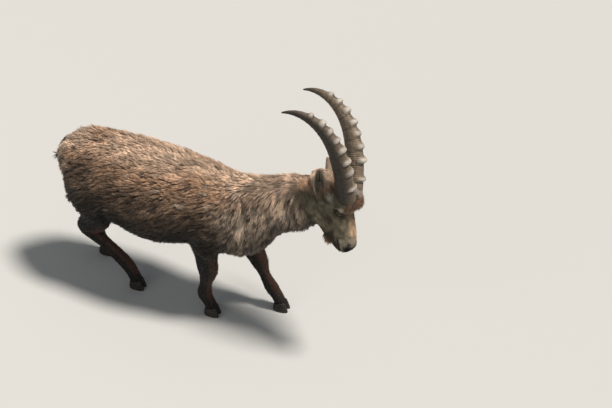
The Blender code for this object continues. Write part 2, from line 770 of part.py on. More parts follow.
def mouthGroove(head, group, count=17, sides=4):
    # A thin tube laid in the surface from one mouth corner round the muzzle to the other
    frame = headMatrix()
    tree = surfaceOf(head)
    start = Vector(mouthCorner)
    points = []
    for angle in np.linspace(-94, 94, count):
        ray = Vector((math.cos(math.radians(angle)), math.sin(math.radians(angle)), 0.20))
        ray = frame.to_3x3() @ ray
        hit = tree.ray_cast(frame @ start, ray.normalized())[0]
        points.append(np.array(hit))
    centres = np.array(points)
    path = np.gradient(centres, axis=0)
    path /= np.linalg.norm(path, axis=1)[:, None]
    up = np.array(frame.to_3x3() @ Vector((0, 0, 1)))
    side = np.cross(path, up)
    side /= np.linalg.norm(side, axis=1)[:, None]
    up = np.cross(side, path)
    return tube("mouth", centres, up * mouthRadius, side * mouthRadius * 1.6, sides, group)


def nostril(side, group):
    # A slanted ellipsoid sunk into the end of the muzzle
    turn = Euler((0.0, math.radians(-35), math.radians(-28 if side == "left" else 28)))
    hole = ball("nostril", (0, 0, 0), nostrilSize, group, 10, 6)
    frame = Matrix.LocRotScale(mirrored(nostrilSpot, side), turn, None)
    hole.data.transform(headMatrix() @ frame)
    return hole


def headPiece(parts, work):
    # The skull, brow, orbits and the end of the neck melt into one, then the face is cut in
    frame = headMatrix()
    tubes = [headTube(work), trunkTube(work)]
    lumps = [ball("brow", browSpot, browSize, work), ball("jowl", jowlSpot, jowlSize, work)]
    for side in ("left", "right"):
        lumps.append(ball("orbit", mirrored(orbitSpot, side), orbitSize, work))
        lumps.append(ball("ear_lump", mirrored(earRoot, side), earLumpSize, work))
    for lump in lumps:
        lump.data.transform(frame)
    head = joined("head", tubes + lumps, parts)
    cropToHead(head, headCrop)
    melt(head, headVoxel, 4, headTriangles)
    cropToHead(head, gap / 2)
    adds = newCollection("adds")
    cuts = newCollection("cuts")
    foreLocks(surfaceOf(head), adds)
    beard(surfaceOf(head), adds)
    for side in ("left", "right"):
        lidRing(side, adds)
        lidOpening(side, cuts)
        nostril(side, cuts)
        eyeCut = ball("eye", mirrored(eyeSpot, side), [eyeRadius + gap] * 3, cuts)
        eyeCut.data.transform(frame)
        for inset in (hornTube(side, work), earShell(side, work)):
            grownCopy(inset, 1.5 * gap, cuts)
            bpy.data.objects.remove(inset, do_unlink=True)
    mouthGroove(head, cuts)
    combine(head, adds, "UNION", "MANIFOLD")
    combine(head, cuts, "DIFFERENCE", "MANIFOLD")
    return keepLargest(head)


def cropToHead(head, ahead):
    # Drops the neck behind a plane this far ahead of the cut
    work = bmesh.new()
    work.from_mesh(head.data)
    normal = Euler((0, math.radians(headCut[1][1]), 0)).to_matrix() @ Vector((1, 0, 0))
    cut = Vector(headCut[0]) + normal * ahead
    geometry = work.verts[:] + work.edges[:] + work.faces[:]
    bmesh.ops.bisect_plane(work, geom=geometry, plane_co=cut, plane_no=normal, clear_inner=True)
    loose = [edge for edge in work.edges if edge.is_boundary]
    bmesh.ops.holes_fill(work, edges=loose)
    work.to_mesh(head.data)
    work.free()


def claw(name, side, group, count=10):
    # Rings from the flat sole up to the sloping top, leaning back over the heel
    middle = hoofFrame(name) + Vector((0, side * clawSpacing, 0))
    angle = np.linspace(0, 2 * np.pi, count, endpoint=False)
    rings = []
    for rise, length, width in clawRings:
        x = clawLength * length * np.cos(angle) - toeOverhang * rise + toeOverhang * 0.5
        y = clawWidth * width * np.sin(angle) * (1 - 0.15 * np.cos(angle))
        z = rise * (hoofHeight + hoofSlope * x)
        rings.append(np.stack([x, y, z], axis=1) + np.array(middle))
    rings = np.stack(rings)
    points = np.concatenate([rings.reshape(-1, 3), rings[:1].mean(axis=1), rings[-1:].mean(axis=1)])
    part = {1: "left", -1: "right"}[side]
    thing = meshObject("hoof_" + name + "_" + part, points, tubeFaces(len(rings), count), group)
    outward(thing)
    return thing


def slotFor(name):
    for key in ("hoof", "horn", "ear", "eye", "tail"):
        if name.startswith(key):
            return "tail_hair" if key == "tail" else key
    if "leg" in name:
        return "leg"
    return {"head": "face", "neck": "coat_neck"}.get(name, "coat")


def build():
    clearScene()
    parts = newCollection(partName)
    work = newCollection("cutters")
    bodyPieces(parts, work)
    headPiece(parts, work)
    for side in ("left", "right"):
        hornTube(side, parts)
        earShell(side, parts)
        eye = ball("eye_" + side, mirrored(eyeSpot, side), [eyeRadius] * 3, parts)
        eye.data.transform(headMatrix())
    for name in limbStations:
        for side in (1, -1):
            claw(name, side, parts)
    for thing in list(work.objects):
        bpy.data.objects.remove(thing, do_unlink=True)
    for thing in parts.objects:
        thing.data.transform(Matrix.Translation(originShift))
        thing.data.shade_smooth()
        thing.data.set_sharp_from_angle(angle=math.radians(50))
        material = newMaterial(slotFor(thing.name))
        thing.data.materials.clear()
        thing.data.materials.append(material)


build()
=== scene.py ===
import math

import bmesh
import bpy
import numpy as np
from mathutils import Matrix, Vector


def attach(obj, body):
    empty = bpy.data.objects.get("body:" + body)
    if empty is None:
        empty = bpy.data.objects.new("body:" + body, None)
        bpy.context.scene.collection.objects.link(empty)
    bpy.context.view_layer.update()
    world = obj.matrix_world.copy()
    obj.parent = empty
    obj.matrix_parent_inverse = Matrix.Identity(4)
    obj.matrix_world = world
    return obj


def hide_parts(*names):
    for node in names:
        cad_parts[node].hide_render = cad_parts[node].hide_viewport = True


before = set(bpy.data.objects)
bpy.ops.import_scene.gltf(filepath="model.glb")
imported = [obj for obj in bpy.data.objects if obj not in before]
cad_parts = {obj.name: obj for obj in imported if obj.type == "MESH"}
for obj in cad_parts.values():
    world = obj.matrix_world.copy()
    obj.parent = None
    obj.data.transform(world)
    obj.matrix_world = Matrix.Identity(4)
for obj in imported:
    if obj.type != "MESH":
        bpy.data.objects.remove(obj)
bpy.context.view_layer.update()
print("solids loaded")

# The tables below are in metres. X starts over the near front hoof and Y in the animal's middle plane.
# standShift carries every finished point into the frame of the solids.
standShift = np.array([0.0929, -0.0131, 0.0])

trunk = {
    # x, z, half height, half width, backward lean in degrees
    "rows": (
        (-0.735, 0.590, 0.050, 0.040, 0), (-0.700, 0.575, 0.105, 0.085, 0), (-0.640, 0.560, 0.156, 0.128, 0),
        (-0.560, 0.549, 0.184, 0.150, 0), (-0.460, 0.536, 0.206, 0.162, 0), (-0.360, 0.524, 0.218, 0.175, 0),
        (-0.240, 0.525, 0.216, 0.178, 0), (-0.130, 0.532, 0.196, 0.164, 0), (-0.040, 0.530, 0.193, 0.146, 5),
        (0.050, 0.530, 0.196, 0.122, 15), (0.130, 0.571, 0.171, 0.098, 22), (0.220, 0.640, 0.130, 0.083, 24),
        (0.310, 0.692, 0.117, 0.083, 27), (0.375, 0.730, 0.108, 0.078, 32), (0.430, 0.758, 0.080, 0.060, 36)),
    "sag": 0.10, "square": 2.15, "count": 120, "around": 64,
    # how far the skin lies under the coat on trunk and neck, and the x between which that changes
    "coatDepth": 0.012, "neckDepth": 0.009, "throat": (0.10, 0.34),
}
legs = {
    # x, y, z, radius to the front, radius to the side
    "rows": {
        "foreleg_right": (
            (-0.030, -0.085, 0.560, 0.085, 0.045), (-0.040, -0.100, 0.480, 0.085, 0.050),
            (-0.040, -0.100, 0.400, 0.072, 0.046), (-0.036, -0.092, 0.320, 0.056, 0.037),
            (-0.028, -0.080, 0.240, 0.047, 0.032), (-0.034, -0.074, 0.165, 0.030, 0.022),
            (-0.034, -0.070, 0.100, 0.036, 0.028), (-0.014, -0.070, 0.065, 0.030, 0.027),
            (0.004, -0.070, 0.026, 0.030, 0.026)),
        "foreleg_left": (
            (0.000, 0.085, 0.560, 0.085, 0.045), (0.015, 0.100, 0.480, 0.085, 0.050),
            (0.040, 0.100, 0.390, 0.066, 0.046), (0.085, 0.098, 0.305, 0.052, 0.037),
            (0.138, 0.094, 0.228, 0.044, 0.032), (0.172, 0.090, 0.160, 0.029, 0.022),
            (0.208, 0.087, 0.105, 0.034, 0.028), (0.238, 0.086, 0.068, 0.029, 0.027),
            (0.262, 0.085, 0.026, 0.030, 0.026)),
        "hindleg_right": (
            (-0.590, -0.070, 0.610, 0.100, 0.060), (-0.568, -0.092, 0.500, 0.112, 0.066),
            (-0.535, -0.098, 0.400, 0.090, 0.058), (-0.548, -0.085, 0.325, 0.066, 0.042),
            (-0.586, -0.068, 0.266, 0.043, 0.031), (-0.499, -0.060, 0.198, 0.032, 0.026),
            (-0.414, -0.054, 0.126, 0.034, 0.028), (-0.374, -0.050, 0.073, 0.031, 0.027),
            (-0.350, -0.050, 0.026, 0.030, 0.026)),
        "hindleg_left": (
            (-0.590, 0.070, 0.610, 0.100, 0.060), (-0.568, 0.092, 0.500, 0.112, 0.066),
            (-0.552, 0.105, 0.400, 0.088, 0.056), (-0.592, 0.105, 0.325, 0.062, 0.042),
            (-0.652, 0.103, 0.262, 0.038, 0.028), (-0.634, 0.101, 0.185, 0.025, 0.022),
            (-0.604, 0.100, 0.112, 0.030, 0.026), (-0.580, 0.100, 0.070, 0.027, 0.025),
            (-0.556, 0.100, 0.026, 0.030, 0.026)),
    },
    # how far the skin lies under the coat, and the heights between which that changes
    "upperDepth": 0.012, "lowerDepth": 0.0030, "depthChange": (0.26, 0.40),
}
tail = {
    "rows": ((-0.640, 0.0, 0.660, 0.016, 0.018), (-0.697, 0.0, 0.659, 0.014, 0.017),
             (-0.733, 0.0, 0.620, 0.012, 0.016), (-0.750, 0.0, 0.574, 0.008, 0.011),
             (-0.756, 0.0, 0.550, 0.003, 0.004)),
}
head = {
    "origin": (0.400, 0.0, 0.800), "pitch": 72.0, "yaw": -7.0, "lean": 15.0,
    # distance from the poll along the face, height of the middle, half height, half width
    "rows": (
        (-0.062, 0.000, 0.034, 0.032), (-0.042, 0.010, 0.057, 0.048), (0.000, 0.030, 0.077, 0.059),
        (0.050, 0.038, 0.085, 0.062), (0.100, 0.040, 0.084, 0.058), (0.150, 0.049, 0.080, 0.048),
        (0.195, 0.061, 0.071, 0.038), (0.228, 0.072, 0.057, 0.034), (0.254, 0.077, 0.042, 0.032),
        (0.268, 0.077, 0.028, 0.025), (0.276, 0.075, 0.011, 0.010)),
    "square": 2.3, "count": 90, "around": 48,
    # middle and half sizes of the swellings that melt into the skull, the sides mirrored
    "lumps": (
        ((0.054, 0.000, 0.114), (0.048, 0.060, 0.046)), ((0.088, 0.040, 0.092), (0.034, 0.028, 0.028)),
        ((0.030, 0.052, 0.010), (0.034, 0.020, 0.022)), ((0.078, 0.034, 0.020), (0.052, 0.029, 0.042)),
        ((0.242, 0.014, 0.108), (0.022, 0.019, 0.018)), ((0.252, 0.017, 0.080), (0.022, 0.016, 0.016)),
        ((0.240, 0.000, 0.055), (0.022, 0.018, 0.015)), ((0.150, 0.030, 0.086), (0.050, 0.020, 0.014)),
        ((0.112, 0.000, -0.022), (0.058, 0.034, 0.033))),
}
eye = {"spot": (0.090, 0.050, 0.092), "radius": 0.0185, "halfLength": 0.0165, "halfHeight": 0.0076,
       "turn": 60.0, "lidGap": 0.0008, "lidRise": 0.0022, "fold": 0.0012, "sink": 0.0045, "reach": 0.014,
       "rimCount": 64, "rimAround": 12, "rimGap": 0.0010, "rimThick": (0.0023, 0.0007)}
# The mouth is a start in x, a height there and a rise; hole and wing are half lengths and half widths
nose = {"spot": (0.253, 0.0165, 0.104), "mouth": (0.212, 0.056, 0.20), "mouthBack": 0.204,
        "hole": (0.0085, 0.0042), "holeDepth": 0.0105, "holeAim": (0.80, 0.45, 0.25),
        "wing": (0.0105, 0.0078), "wingRise": 0.0012, "grooveDepth": 0.0026, "grooveWidth": 0.0019,
        "lipRise": 0.0014, "lipPlace": 0.0065, "lipWidth": 0.0045, "boneRise": 0.0022, "boneWidth": 0.007,
        "furrowDepth": 0.0018, "furrowWidth": 0.0028}


def smoothRows(rows, count):
    # Catmull-Rom: each value glides through the table's rows
    rows = np.array(rows, dtype=float)
    last = len(rows) - 1
    place = np.linspace(0, last, count)
    base = np.minimum(place.astype(int), last - 1)
    t = (place - base)[:, None]
    p0, p1 = rows[np.maximum(base - 1, 0)], rows[base]
    p2, p3 = rows[base + 1], rows[np.minimum(base + 2, last)]
    curve = 2 * p1 + (p2 - p0) * t + (2 * p0 - 5 * p1 + 4 * p2 - p3) * t**2
    return 0.5 * (curve + (3 * p1 - p0 - 3 * p2 + p3) * t**3)


def ramp(value, low, high):
    # 0 below low, 1 above high, an S-curve between; low may be the larger one
    t = np.clip((value - low) / (high - low), 0, 1)
    return t * t * (3 - 2 * t)


def hump(value, middle, width):
    # 1 at the middle, falling away as a bell on both sides
    return np.exp(-((value - middle) / width) ** 2)


def columns(*values):
    # Arrays and single numbers side by side on a new last axis
    return np.stack(np.broadcast_arrays(*values), axis=-1)


def unit(vectors):
    return vectors / np.maximum(np.linalg.norm(vectors, axis=-1, keepdims=True), 1e-9)


def hashed(cells, seed):
    # Whole numbers in, even random numbers from 0 to 1 out
    n = cells.astype(np.int64)
    n = (n[..., 0] * 73856093) ^ (n[..., 1] * 19349663) ^ (n[..., 2] * 83492791) ^ (seed * 2654435761)
    n = n & 0xffffffff
    n = ((n ^ (n >> 16)) * 0x45d9f3b) & 0xffffffff
    n = ((n ^ (n >> 16)) * 0x45d9f3b) & 0xffffffff
    return ((n ^ (n >> 16)) & 0xffffff) / float(0x1000000)


def patches(points, size, seed):
    # Soft random patches: values at the corners of cubes of this size, blended inside each cube
    place = points / size
    base = np.floor(place).astype(int)
    t = place - base
    t = t * t * (3 - 2 * t)
    total = 0
    for corner in np.ndindex(2, 2, 2):
        corner = np.array(corner)
        weight = np.where(corner == 1, t, 1 - t).prod(axis=1)
        total = total + weight * hashed(base + corner, seed)
    return total


def clumpsOf(points, size, seed):
    # The nearest of one random point in each cube around: its place and its cube
    base = np.floor(points / size).astype(int)
    best = np.full(len(points), np.inf)
    spot = np.zeros_like(points)
    cell = np.zeros_like(base)
    for step in np.ndindex(3, 3, 3):
        other = base + np.array(step) - 1
        jitter = columns(*(hashed(other, seed + k) for k in range(3)))
        place = (other + jitter) * size
        gap = np.linalg.norm(place - points, axis=1)
        near = gap < best
        best = np.where(near, gap, best)
        spot[near] = place[near]
        cell[near] = other[near]
    return spot, cell


def meshPiece(name, points, loops, sizes, shift=True):
    # One mesh object from arrays: points, flat corner list and corners per face
    mesh = bpy.data.meshes.new(name)
    place = np.asarray(points, dtype=np.float64) + (standShift if shift else 0)
    sizes = np.asarray(sizes)
    mesh.vertices.add(len(place))
    mesh.vertices.foreach_set("co", place.astype(np.float32).ravel())
    mesh.loops.add(len(loops))
    mesh.loops.foreach_set("vertex_index", np.asarray(loops, dtype=np.int32))
    mesh.polygons.add(len(sizes))
    mesh.polygons.foreach_set("loop_start", (np.cumsum(sizes) - sizes).astype(np.int32))
    mesh.update(calc_edges=True)
    mesh.validate()
    mesh.shade_smooth()
    piece = bpy.data.objects.new(name, mesh)
    bpy.context.scene.collection.objects.link(piece)
    return piece


def gridCorners(rows, around, first=0):
    # Corner list and face sizes of a tube of rows x around points, closed at each end by a fan round a
    # pole. The two poles follow the grid's points.
    i, j = np.meshgrid(np.arange(rows - 1), np.arange(around), indexing="ij")
    k = (j + 1) % around
    quads = columns(i * around + j, i * around + k, (i + 1) * around + k, (i + 1) * around + j)
    j = np.arange(around)
    k = (j + 1) % around
    start, top = rows * around, (rows - 1) * around
    fans = np.concatenate([columns(start, k, j), columns(start + 1, top + j, top + k)])
    loops = np.concatenate([quads.reshape(-1), fans.reshape(-1)]) + first
    return loops, np.concatenate([np.full(quads.size // 4, 4), np.full(len(fans), 3)])


def withPoles(rings):
    return np.concatenate([rings.reshape(-1, 3), rings[:1].mean(axis=1), rings[-1:].mean(axis=1)])


def assembled(parts):
    # Joins tubes, each an array of rings, into one list of points, corners and face sizes
    points, loops, sizes, first = [], [], [], 0
    for rings in parts:
        corner, size = gridCorners(rings.shape[0], rings.shape[1], first)
        points.append(withPoles(rings))
        loops.append(corner)
        sizes.append(size)
        first += len(points[-1])
    return np.concatenate(points), np.concatenate(loops), np.concatenate(sizes)


def outward(piece):
    work = bmesh.new()
    work.from_mesh(piece.data)
    bmesh.ops.recalc_face_normals(work, faces=work.faces)
    work.to_mesh(piece.data)
    work.free()


def baked(piece):
    # Applies the piece's modifiers
    shape = piece.evaluated_get(bpy.context.evaluated_depsgraph_get())
    mesh = bpy.data.meshes.new_from_object(shape)
    piece.modifiers.clear()
    piece.data = mesh


def readOut(items, key, width=3, kind=np.float32):
    # One row of numbers for each point, corner or triangle of a mesh
    flat = np.zeros(len(items) * width, dtype=kind)
    items.foreach_get(key, flat)
    return flat.reshape(-1, width)


def pointsOf(mesh):
    return readOut(mesh.vertices, "co").astype(float)


def normalsOf(mesh):
    return readOut(mesh.vertex_normals, "vector").astype(float)


def giveTint(mesh, name, colours):
    layer = mesh.attributes.new(name, "FLOAT_COLOR", "POINT")
    data = np.concatenate([colours, np.ones((len(colours), 1))], axis=1)
    layer.data.foreach_set("color", data.astype(np.float32).ravel())


def giveValue(mesh, name, values):
    layer = mesh.attributes.new(name, "FLOAT", "POINT")
    layer.data.foreach_set("value", np.asarray(values, dtype=np.float32))


def giveMap(mesh, name, places):
    # A UV map from one place per point
    corners = readOut(mesh.loops, "vertex_index", 1, np.int32)[:, 0]
    layer = mesh.uv_layers.new(name=name)
    layer.data.foreach_set("uv", places[corners].astype(np.float32).ravel())


# Frames and shapes of the body

def headFrame():
    turn = Matrix.Rotation(math.radians(head["yaw"]), 4, "Z")
    lean = Matrix.Rotation(math.radians(-head["lean"]), 4, "X")
    pitch = Matrix.Rotation(math.radians(head["pitch"]), 4, "Y")
    return np.array(Matrix.Translation(head["origin"]) @ turn @ lean @ pitch)


headTurn = headFrame()


def fromHead(points):
    return points @ headTurn[:3, :3].T + headTurn[:3, 3]


def intoHead(points):
    return (points - headTurn[:3, 3]) @ headTurn[:3, :3]


def ellipseRings(centres, ups, sideways, around, sag=0.0, square=2.0):
    # Each ring is an ellipse, squarer for a larger power, spanned by its up and side half axes
    angle = np.linspace(0, 2 * np.pi, around, endpoint=False)
    power = 2.0 / square
    high = np.sign(np.cos(angle)) * np.abs(np.cos(angle)) ** power
    wide = np.sign(np.sin(angle)) * np.abs(np.sin(angle)) ** power * (1 - sag * np.cos(angle))
    rings = centres[:, None] + ups[:, None] * high[None, :, None]
    return rings + sideways[:, None] * wide[None, :, None]


def trunkRings():
    rows = smoothRows(trunk["rows"], trunk["count"])
    throat = ramp(rows[:, 0], *trunk["throat"])
    rows[:, 2:4] -= (trunk["coatDepth"] + (trunk["neckDepth"] - trunk["coatDepth"]) * throat)[:, None]
    lean = np.radians(rows[:, 4])
    centres = columns(rows[:, 0], 0, rows[:, 1])
    ups = columns(-np.sin(lean), 0, np.cos(lean)) * rows[:, 2:3]
    sideways = columns(0, rows[:, 3], 0)
    return ellipseRings(centres, ups, sideways, trunk["around"], trunk["sag"], trunk["square"])


def limbRings(rows, count=90, around=32, inset=True):
    # The front half axis is square to the limb's path and to Y
    rows = smoothRows(rows, count)
    if inset:
        upper = ramp(rows[:, 2], *legs["depthChange"])
        rows[:, 3:5] -= (legs["lowerDepth"] + (legs["upperDepth"] - legs["lowerDepth"]) * upper)[:, None]
    centres = rows[:, :3]
    path = unit(np.gradient(centres, axis=0))
    front = unit(np.cross(np.array([[0.0, 1.0, 0.0]]), path))
    side = np.cross(path, front)
    return ellipseRings(centres, front * rows[:, 3:4], side * rows[:, 4:5], around)


def lumpRings(middle, size, count=14, around=24):
    # An ellipsoid as rings along its first axis
    turn = np.linspace(0, np.pi, count + 2)[1:-1]
    angle = np.linspace(0, 2 * np.pi, around, endpoint=False)
    wide = np.sin(turn)[:, None]
    ball = columns(np.cos(turn)[:, None], wide * np.cos(angle), wide * np.sin(angle))
    return ball * np.array(size) + middle


def headRings():
    rows = smoothRows(head["rows"], head["count"])
    centres = columns(rows[:, 0], 0, rows[:, 1])
    ups, sideways = columns(0, 0, rows[:, 2]), columns(0, rows[:, 3], 0)
    parts = [ellipseRings(centres, ups, sideways, head["around"], 0.0, head["square"])]
    for middle, size in head["lumps"]:
        for sign in (1, -1) if middle[1] else (1,):
            parts.append(lumpRings(np.array(middle) * (1, sign, 1), size))
    return [fromHead(rings) for rings in parts]


def eyePlace(local):
    # Place round either eye: offset from its middle, share of the almond's edge (1 on it), and the
    # distances along and across the almond
    q = columns(local[:, 0], np.abs(local[:, 1]), local[:, 2]) - np.array(eye["spot"])
    turn = math.radians(eye["turn"])
    along = q[:, 0] * math.cos(turn) + q[:, 2] * math.sin(turn)
    high = q[:, 2] * math.cos(turn) - q[:, 0] * math.sin(turn)
    share = np.sqrt((along / eye["halfLength"]) ** 2 + (high / eye["halfHeight"]) ** 2)
    share = np.where(q[:, 1] > 0.2 * eye["radius"], share, 9.0)
    return q, share, along, high


def nosePlace(local):
    # Offset from the middle of the nearer nostril
    return columns(local[:, 0], np.abs(local[:, 1]), local[:, 2]) - np.array(nose["spot"])


def mouthGap(local):
    # Height over the line of the mouth, which climbs a little towards the front
    x0, z0, rise = nose["mouth"]
    return local[:, 2] - z0 - rise * np.hypot(np.maximum(local[:, 0] - x0, 0), local[:, 1])


def sculptHead(points, normals):
    # Sinks the eye openings, nostrils and mouth into the melted skull and raises lids, lips and bones
    local = intoHead(points)
    out = normals @ headTurn[:3, :3]
    side = np.sign(local[:, 1:2] + 1e-9)
    mirror = columns(1, side[:, 0], 1)
    q, share, along, high = eyePlace(local)
    reach = np.linalg.norm(q, axis=1)
    lid = eye["radius"] + eye["lidGap"] + eye["lidRise"] * hump(share, 1.15, 0.22)
    fold = eye["fold"] * hump(share, 1.75, 0.12) * (high > 0)
    goal = np.where(share < 1, eye["radius"] - eye["sink"], lid - fold)
    blend = np.where(share < 1, 1.0, ramp(share, 2.3, 1.35))
    move = (goal - reach)[:, None] * unit(q) * blend[:, None]
    move[:, 1:2] *= side
    near = (np.abs(reach - eye["radius"]) < eye["reach"]) & (share < 2.4)
    local = local + move * near[:, None]
    # nostrils: slanted commas that sink inwards with a raised wing above
    n = local - np.array(nose["spot"]) * mirror
    turned = n[:, 0] * 0.45 + n[:, 2] * 0.89
    cross = n[:, 1] * side[:, 0] * 0.75 + n[:, 0] * 0.55 - n[:, 2] * 0.30
    holeLength, holeWidth = nose["hole"]
    hole = np.exp(-(turned / holeLength) ** 2 - ((cross + 0.25 * turned) / holeWidth) ** 2)
    wingLength, wingWidth = nose["wing"]
    wing = hump(np.sqrt((turned / wingLength) ** 2 + (cross / wingWidth) ** 2), 1, 0.28)
    front = ramp(local[:, 0], 0.225, 0.245)
    local = local + out * (nose["wingRise"] * wing * front)[:, None]
    local = local - (hole * front * nose["holeDepth"])[:, None] * np.array(nose["holeAim"]) * mirror
    # mouth: a groove between two soft lips, fading out at its corner
    gap = mouthGap(local)
    back = ramp(local[:, 0], nose["mouthBack"], nose["mouthBack"] + 0.016)
    groove = nose["lipRise"] * hump(np.abs(gap), nose["lipPlace"], nose["lipWidth"])
    groove = groove - nose["grooveDepth"] * hump(gap, 0, nose["grooveWidth"])
    local = local + out * (groove * back)[:, None]
    # the bone under the eye runs down to the muzzle, and the nose has a shallow furrow
    x = local[:, 0]
    bone = hump(np.abs(local[:, 2] - (0.060 + 0.10 * (x - 0.11))), 0, nose["boneWidth"])
    local = local + out * (nose["boneRise"] * bone * ramp(x, 0.085, 0.12) * ramp(x, 0.20, 0.16))[:, None]
    furrow = hump(local[:, 1], 0, nose["furrowWidth"])
    furrow = furrow * ramp(local[:, 0], 0.262, 0.272) * ramp(gap, 0.0, 0.004)
    return fromHead(local - out * (nose["furrowDepth"] * furrow)[:, None])


def lidRims():
    # A smooth rim on the almond's edge of each eye, as a closed tube bent into a ring
    turn = np.linspace(0, 2 * np.pi, eye["rimCount"], endpoint=False)
    angle = np.linspace(0, 2 * np.pi, eye["rimAround"], endpoint=False)
    lean = math.radians(eye["turn"])
    along = eye["halfLength"] * np.cos(turn)
    high = eye["halfHeight"] * np.sin(turn) * (1 + 0.10 * np.cos(turn))
    x = along * math.cos(lean) - high * math.sin(lean)
    z = along * math.sin(lean) + high * math.cos(lean)
    y = np.sqrt(np.maximum((eye["radius"] + eye["rimGap"]) ** 2 - x**2 - z**2, 0))
    thick = (eye["rimThick"][0] + eye["rimThick"][1] * np.sin(turn))[:, None, None]
    rings = []
    for sign in (1, -1):
        offset = columns(x, sign * y, z)
        path = unit(np.roll(offset, -1, axis=0) - np.roll(offset, 1, axis=0))
        out = unit(offset)
        flat = np.cross(path, out)
        tube = offset[:, None] + thick * (out[:, None] * np.cos(angle)[None, :, None]
                                          + 1.25 * flat[:, None] * np.sin(angle)[None, :, None])
        rings.append(fromHead(tube + np.array(eye["spot"]) * (1, sign, 1)))
    return rings


ears = {
    "root": (0.030, 0.052, 0.010), "aims": {"right": (-0.92, -0.27, 0.16), "left": (-0.92, 0.33, -0.08)},
    "facing": (0.10, 0.90, 0.42), "length": 0.128, "width": 0.024, "depth": 0.016, "thickness": 0.0034,
    "bow": 0.010, "tip": 0.0012, "count": 60, "half": 20,
}


def earAxes(side):
    sign = 1 if side == "left" else -1
    aim = unit(np.array(ears["aims"][side]))
    facing = np.array(ears["facing"]) * (1, sign, 1)
    facing = unit(facing - aim * facing.dot(aim))
    return np.array(ears["root"]) * (1, sign, 1), aim, facing, np.cross(aim, facing)


def earShape(t):
    # Half width, depth, thickness and filling of the cup at a share of the ear's length
    wide = ears["width"] * np.sin(np.pi * np.clip(0.16 + 0.80 * t, 0, 1)) ** 0.75
    deep, thick = ears["depth"] * (1 - 0.75 * t), ears["thickness"] * (1 - 0.55 * t)
    return wide, deep, thick, np.clip(1 - t * 4.5, 0, 1)


def earRings(side):
    # A cupped leaf: each section is a crescent, filled up towards the root, with a rolled rim
    root, aim, facing, across = earAxes(side)
    t = np.linspace(0, 1, ears["count"])
    wide, deep, thick, filled = (values[:, None] for values in earShape(t))
    wide[-1] = ears["tip"]
    arc = np.linspace(-1, 1, ears["half"])
    back = columns(wide * arc, -deep * (1 - arc**2))
    inner = columns((wide - thick * 0.6) * arc[::-1], -(deep * (1 - arc**2)) + thick)
    ridge = 0.0016 * np.cos(arc * 9.0) * (1 - arc**2)
    inner[..., 1] += filled * deep * (1.15 - arc**2) + ridge * np.sin(np.pi * t)[:, None]
    loop = np.concatenate([back, inner], axis=1)
    centres = root + np.outer(t * ears["length"], aim) + np.outer(-ears["bow"] * t**2, facing)
    return fromHead(centres[:, None] + loop[..., :1] * across + loop[..., 1:] * facing)


# The skin is melted in cubes of this size, then split finer from the forehead on
skinWork = {"voxel": 0.0072, "soften": 6, "headFrom": 0.03, "headX": 0.355, "splitFrom": 0.035,
            "splitX": 0.36, "cuts": 3, "smoothing": 14}


def buildSkin():
    # Tubes melt into one skin, the head's faces are split finer, smoothed and sculpted
    parts = [trunkRings()] + [limbRings(rows) for rows in legs["rows"].values()]
    parts.append(limbRings(tail["rows"], 40, 24, inset=False))
    parts += headRings()
    points, loops, sizes = assembled(parts)
    piece = meshPiece("skin", points, loops, sizes, shift=False)
    outward(piece)
    melt = piece.modifiers.new("melt", "REMESH")
    melt.mode = "VOXEL"
    melt.voxel_size = skinWork["voxel"]
    soften = piece.modifiers.new("soften", "SMOOTH")
    soften.factor = 0.5
    soften.iterations = skinWork["soften"]
    baked(piece)
    work = bmesh.new()
    work.from_mesh(piece.data)
    centre = np.array([face.calc_center_median() for face in work.faces])
    local = intoHead(centre)
    chosen = np.flatnonzero((local[:, 0] > skinWork["splitFrom"]) & (centre[:, 0] > skinWork["splitX"]))
    work.faces.ensure_lookup_table()
    edges = list({edge for i in chosen for edge in work.faces[i].edges})
    bmesh.ops.subdivide_edges(work, edges=edges, cuts=skinWork["cuts"], use_grid_fill=True)
    inside = [v for v in work.verts if v.co.x > skinWork["headX"]
              and intoHead(np.array(v.co)[None])[0, 0] > skinWork["headFrom"]]
    for step in range(skinWork["smoothing"]):
        bmesh.ops.smooth_vert(work, verts=inside, factor=0.5,
                              use_axis_x=True, use_axis_y=True, use_axis_z=True)
    bmesh.ops.triangulate(work, faces=[f for f in work.faces if len(f.verts) > 4])
    work.to_mesh(piece.data)
    work.free()
    points = pointsOf(piece.data)
    moved = sculptHead(points, normalsOf(piece.data))
    inHead = (intoHead(points)[:, 0] > skinWork["headFrom"]) & (points[:, 0] > skinWork["headX"])
    points = np.where(inHead[:, None], moved, points)
    piece.data.vertices.foreach_set("co", points.astype(np.float32).ravel())
    piece.data.update()
    print("skin melted into", len(piece.data.polygons), "faces")
    return piece


# Where a point lies on the body, and what the coat does there

pathSteps = {"trunk": 120, "leg": 60, "tail": 30}
paths = {name: smoothRows(rows, pathSteps["leg"] + 1) for name, rows in legs["rows"].items()}
paths["trunk"] = smoothRows(trunk["rows"], pathSteps["trunk"] + 1)
paths["tail"] = smoothRows(tail["rows"], pathSteps["tail"] + 1)
# The head starts behind a plane through this place, which leans by this many degrees
nape = {"x": 0.345, "z": 0.720, "lean": 35.0}


def alongPath(points, path):
    # Nearest sample of a path for each point: its index and distance
    gaps = (points**2).sum(axis=1)[:, None] - 2 * points @ path.T + (path**2).sum(axis=1)[None]
    nearest = gaps.argmin(axis=1)
    return nearest, np.sqrt(np.maximum(gaps[np.arange(len(points)), nearest], 0))


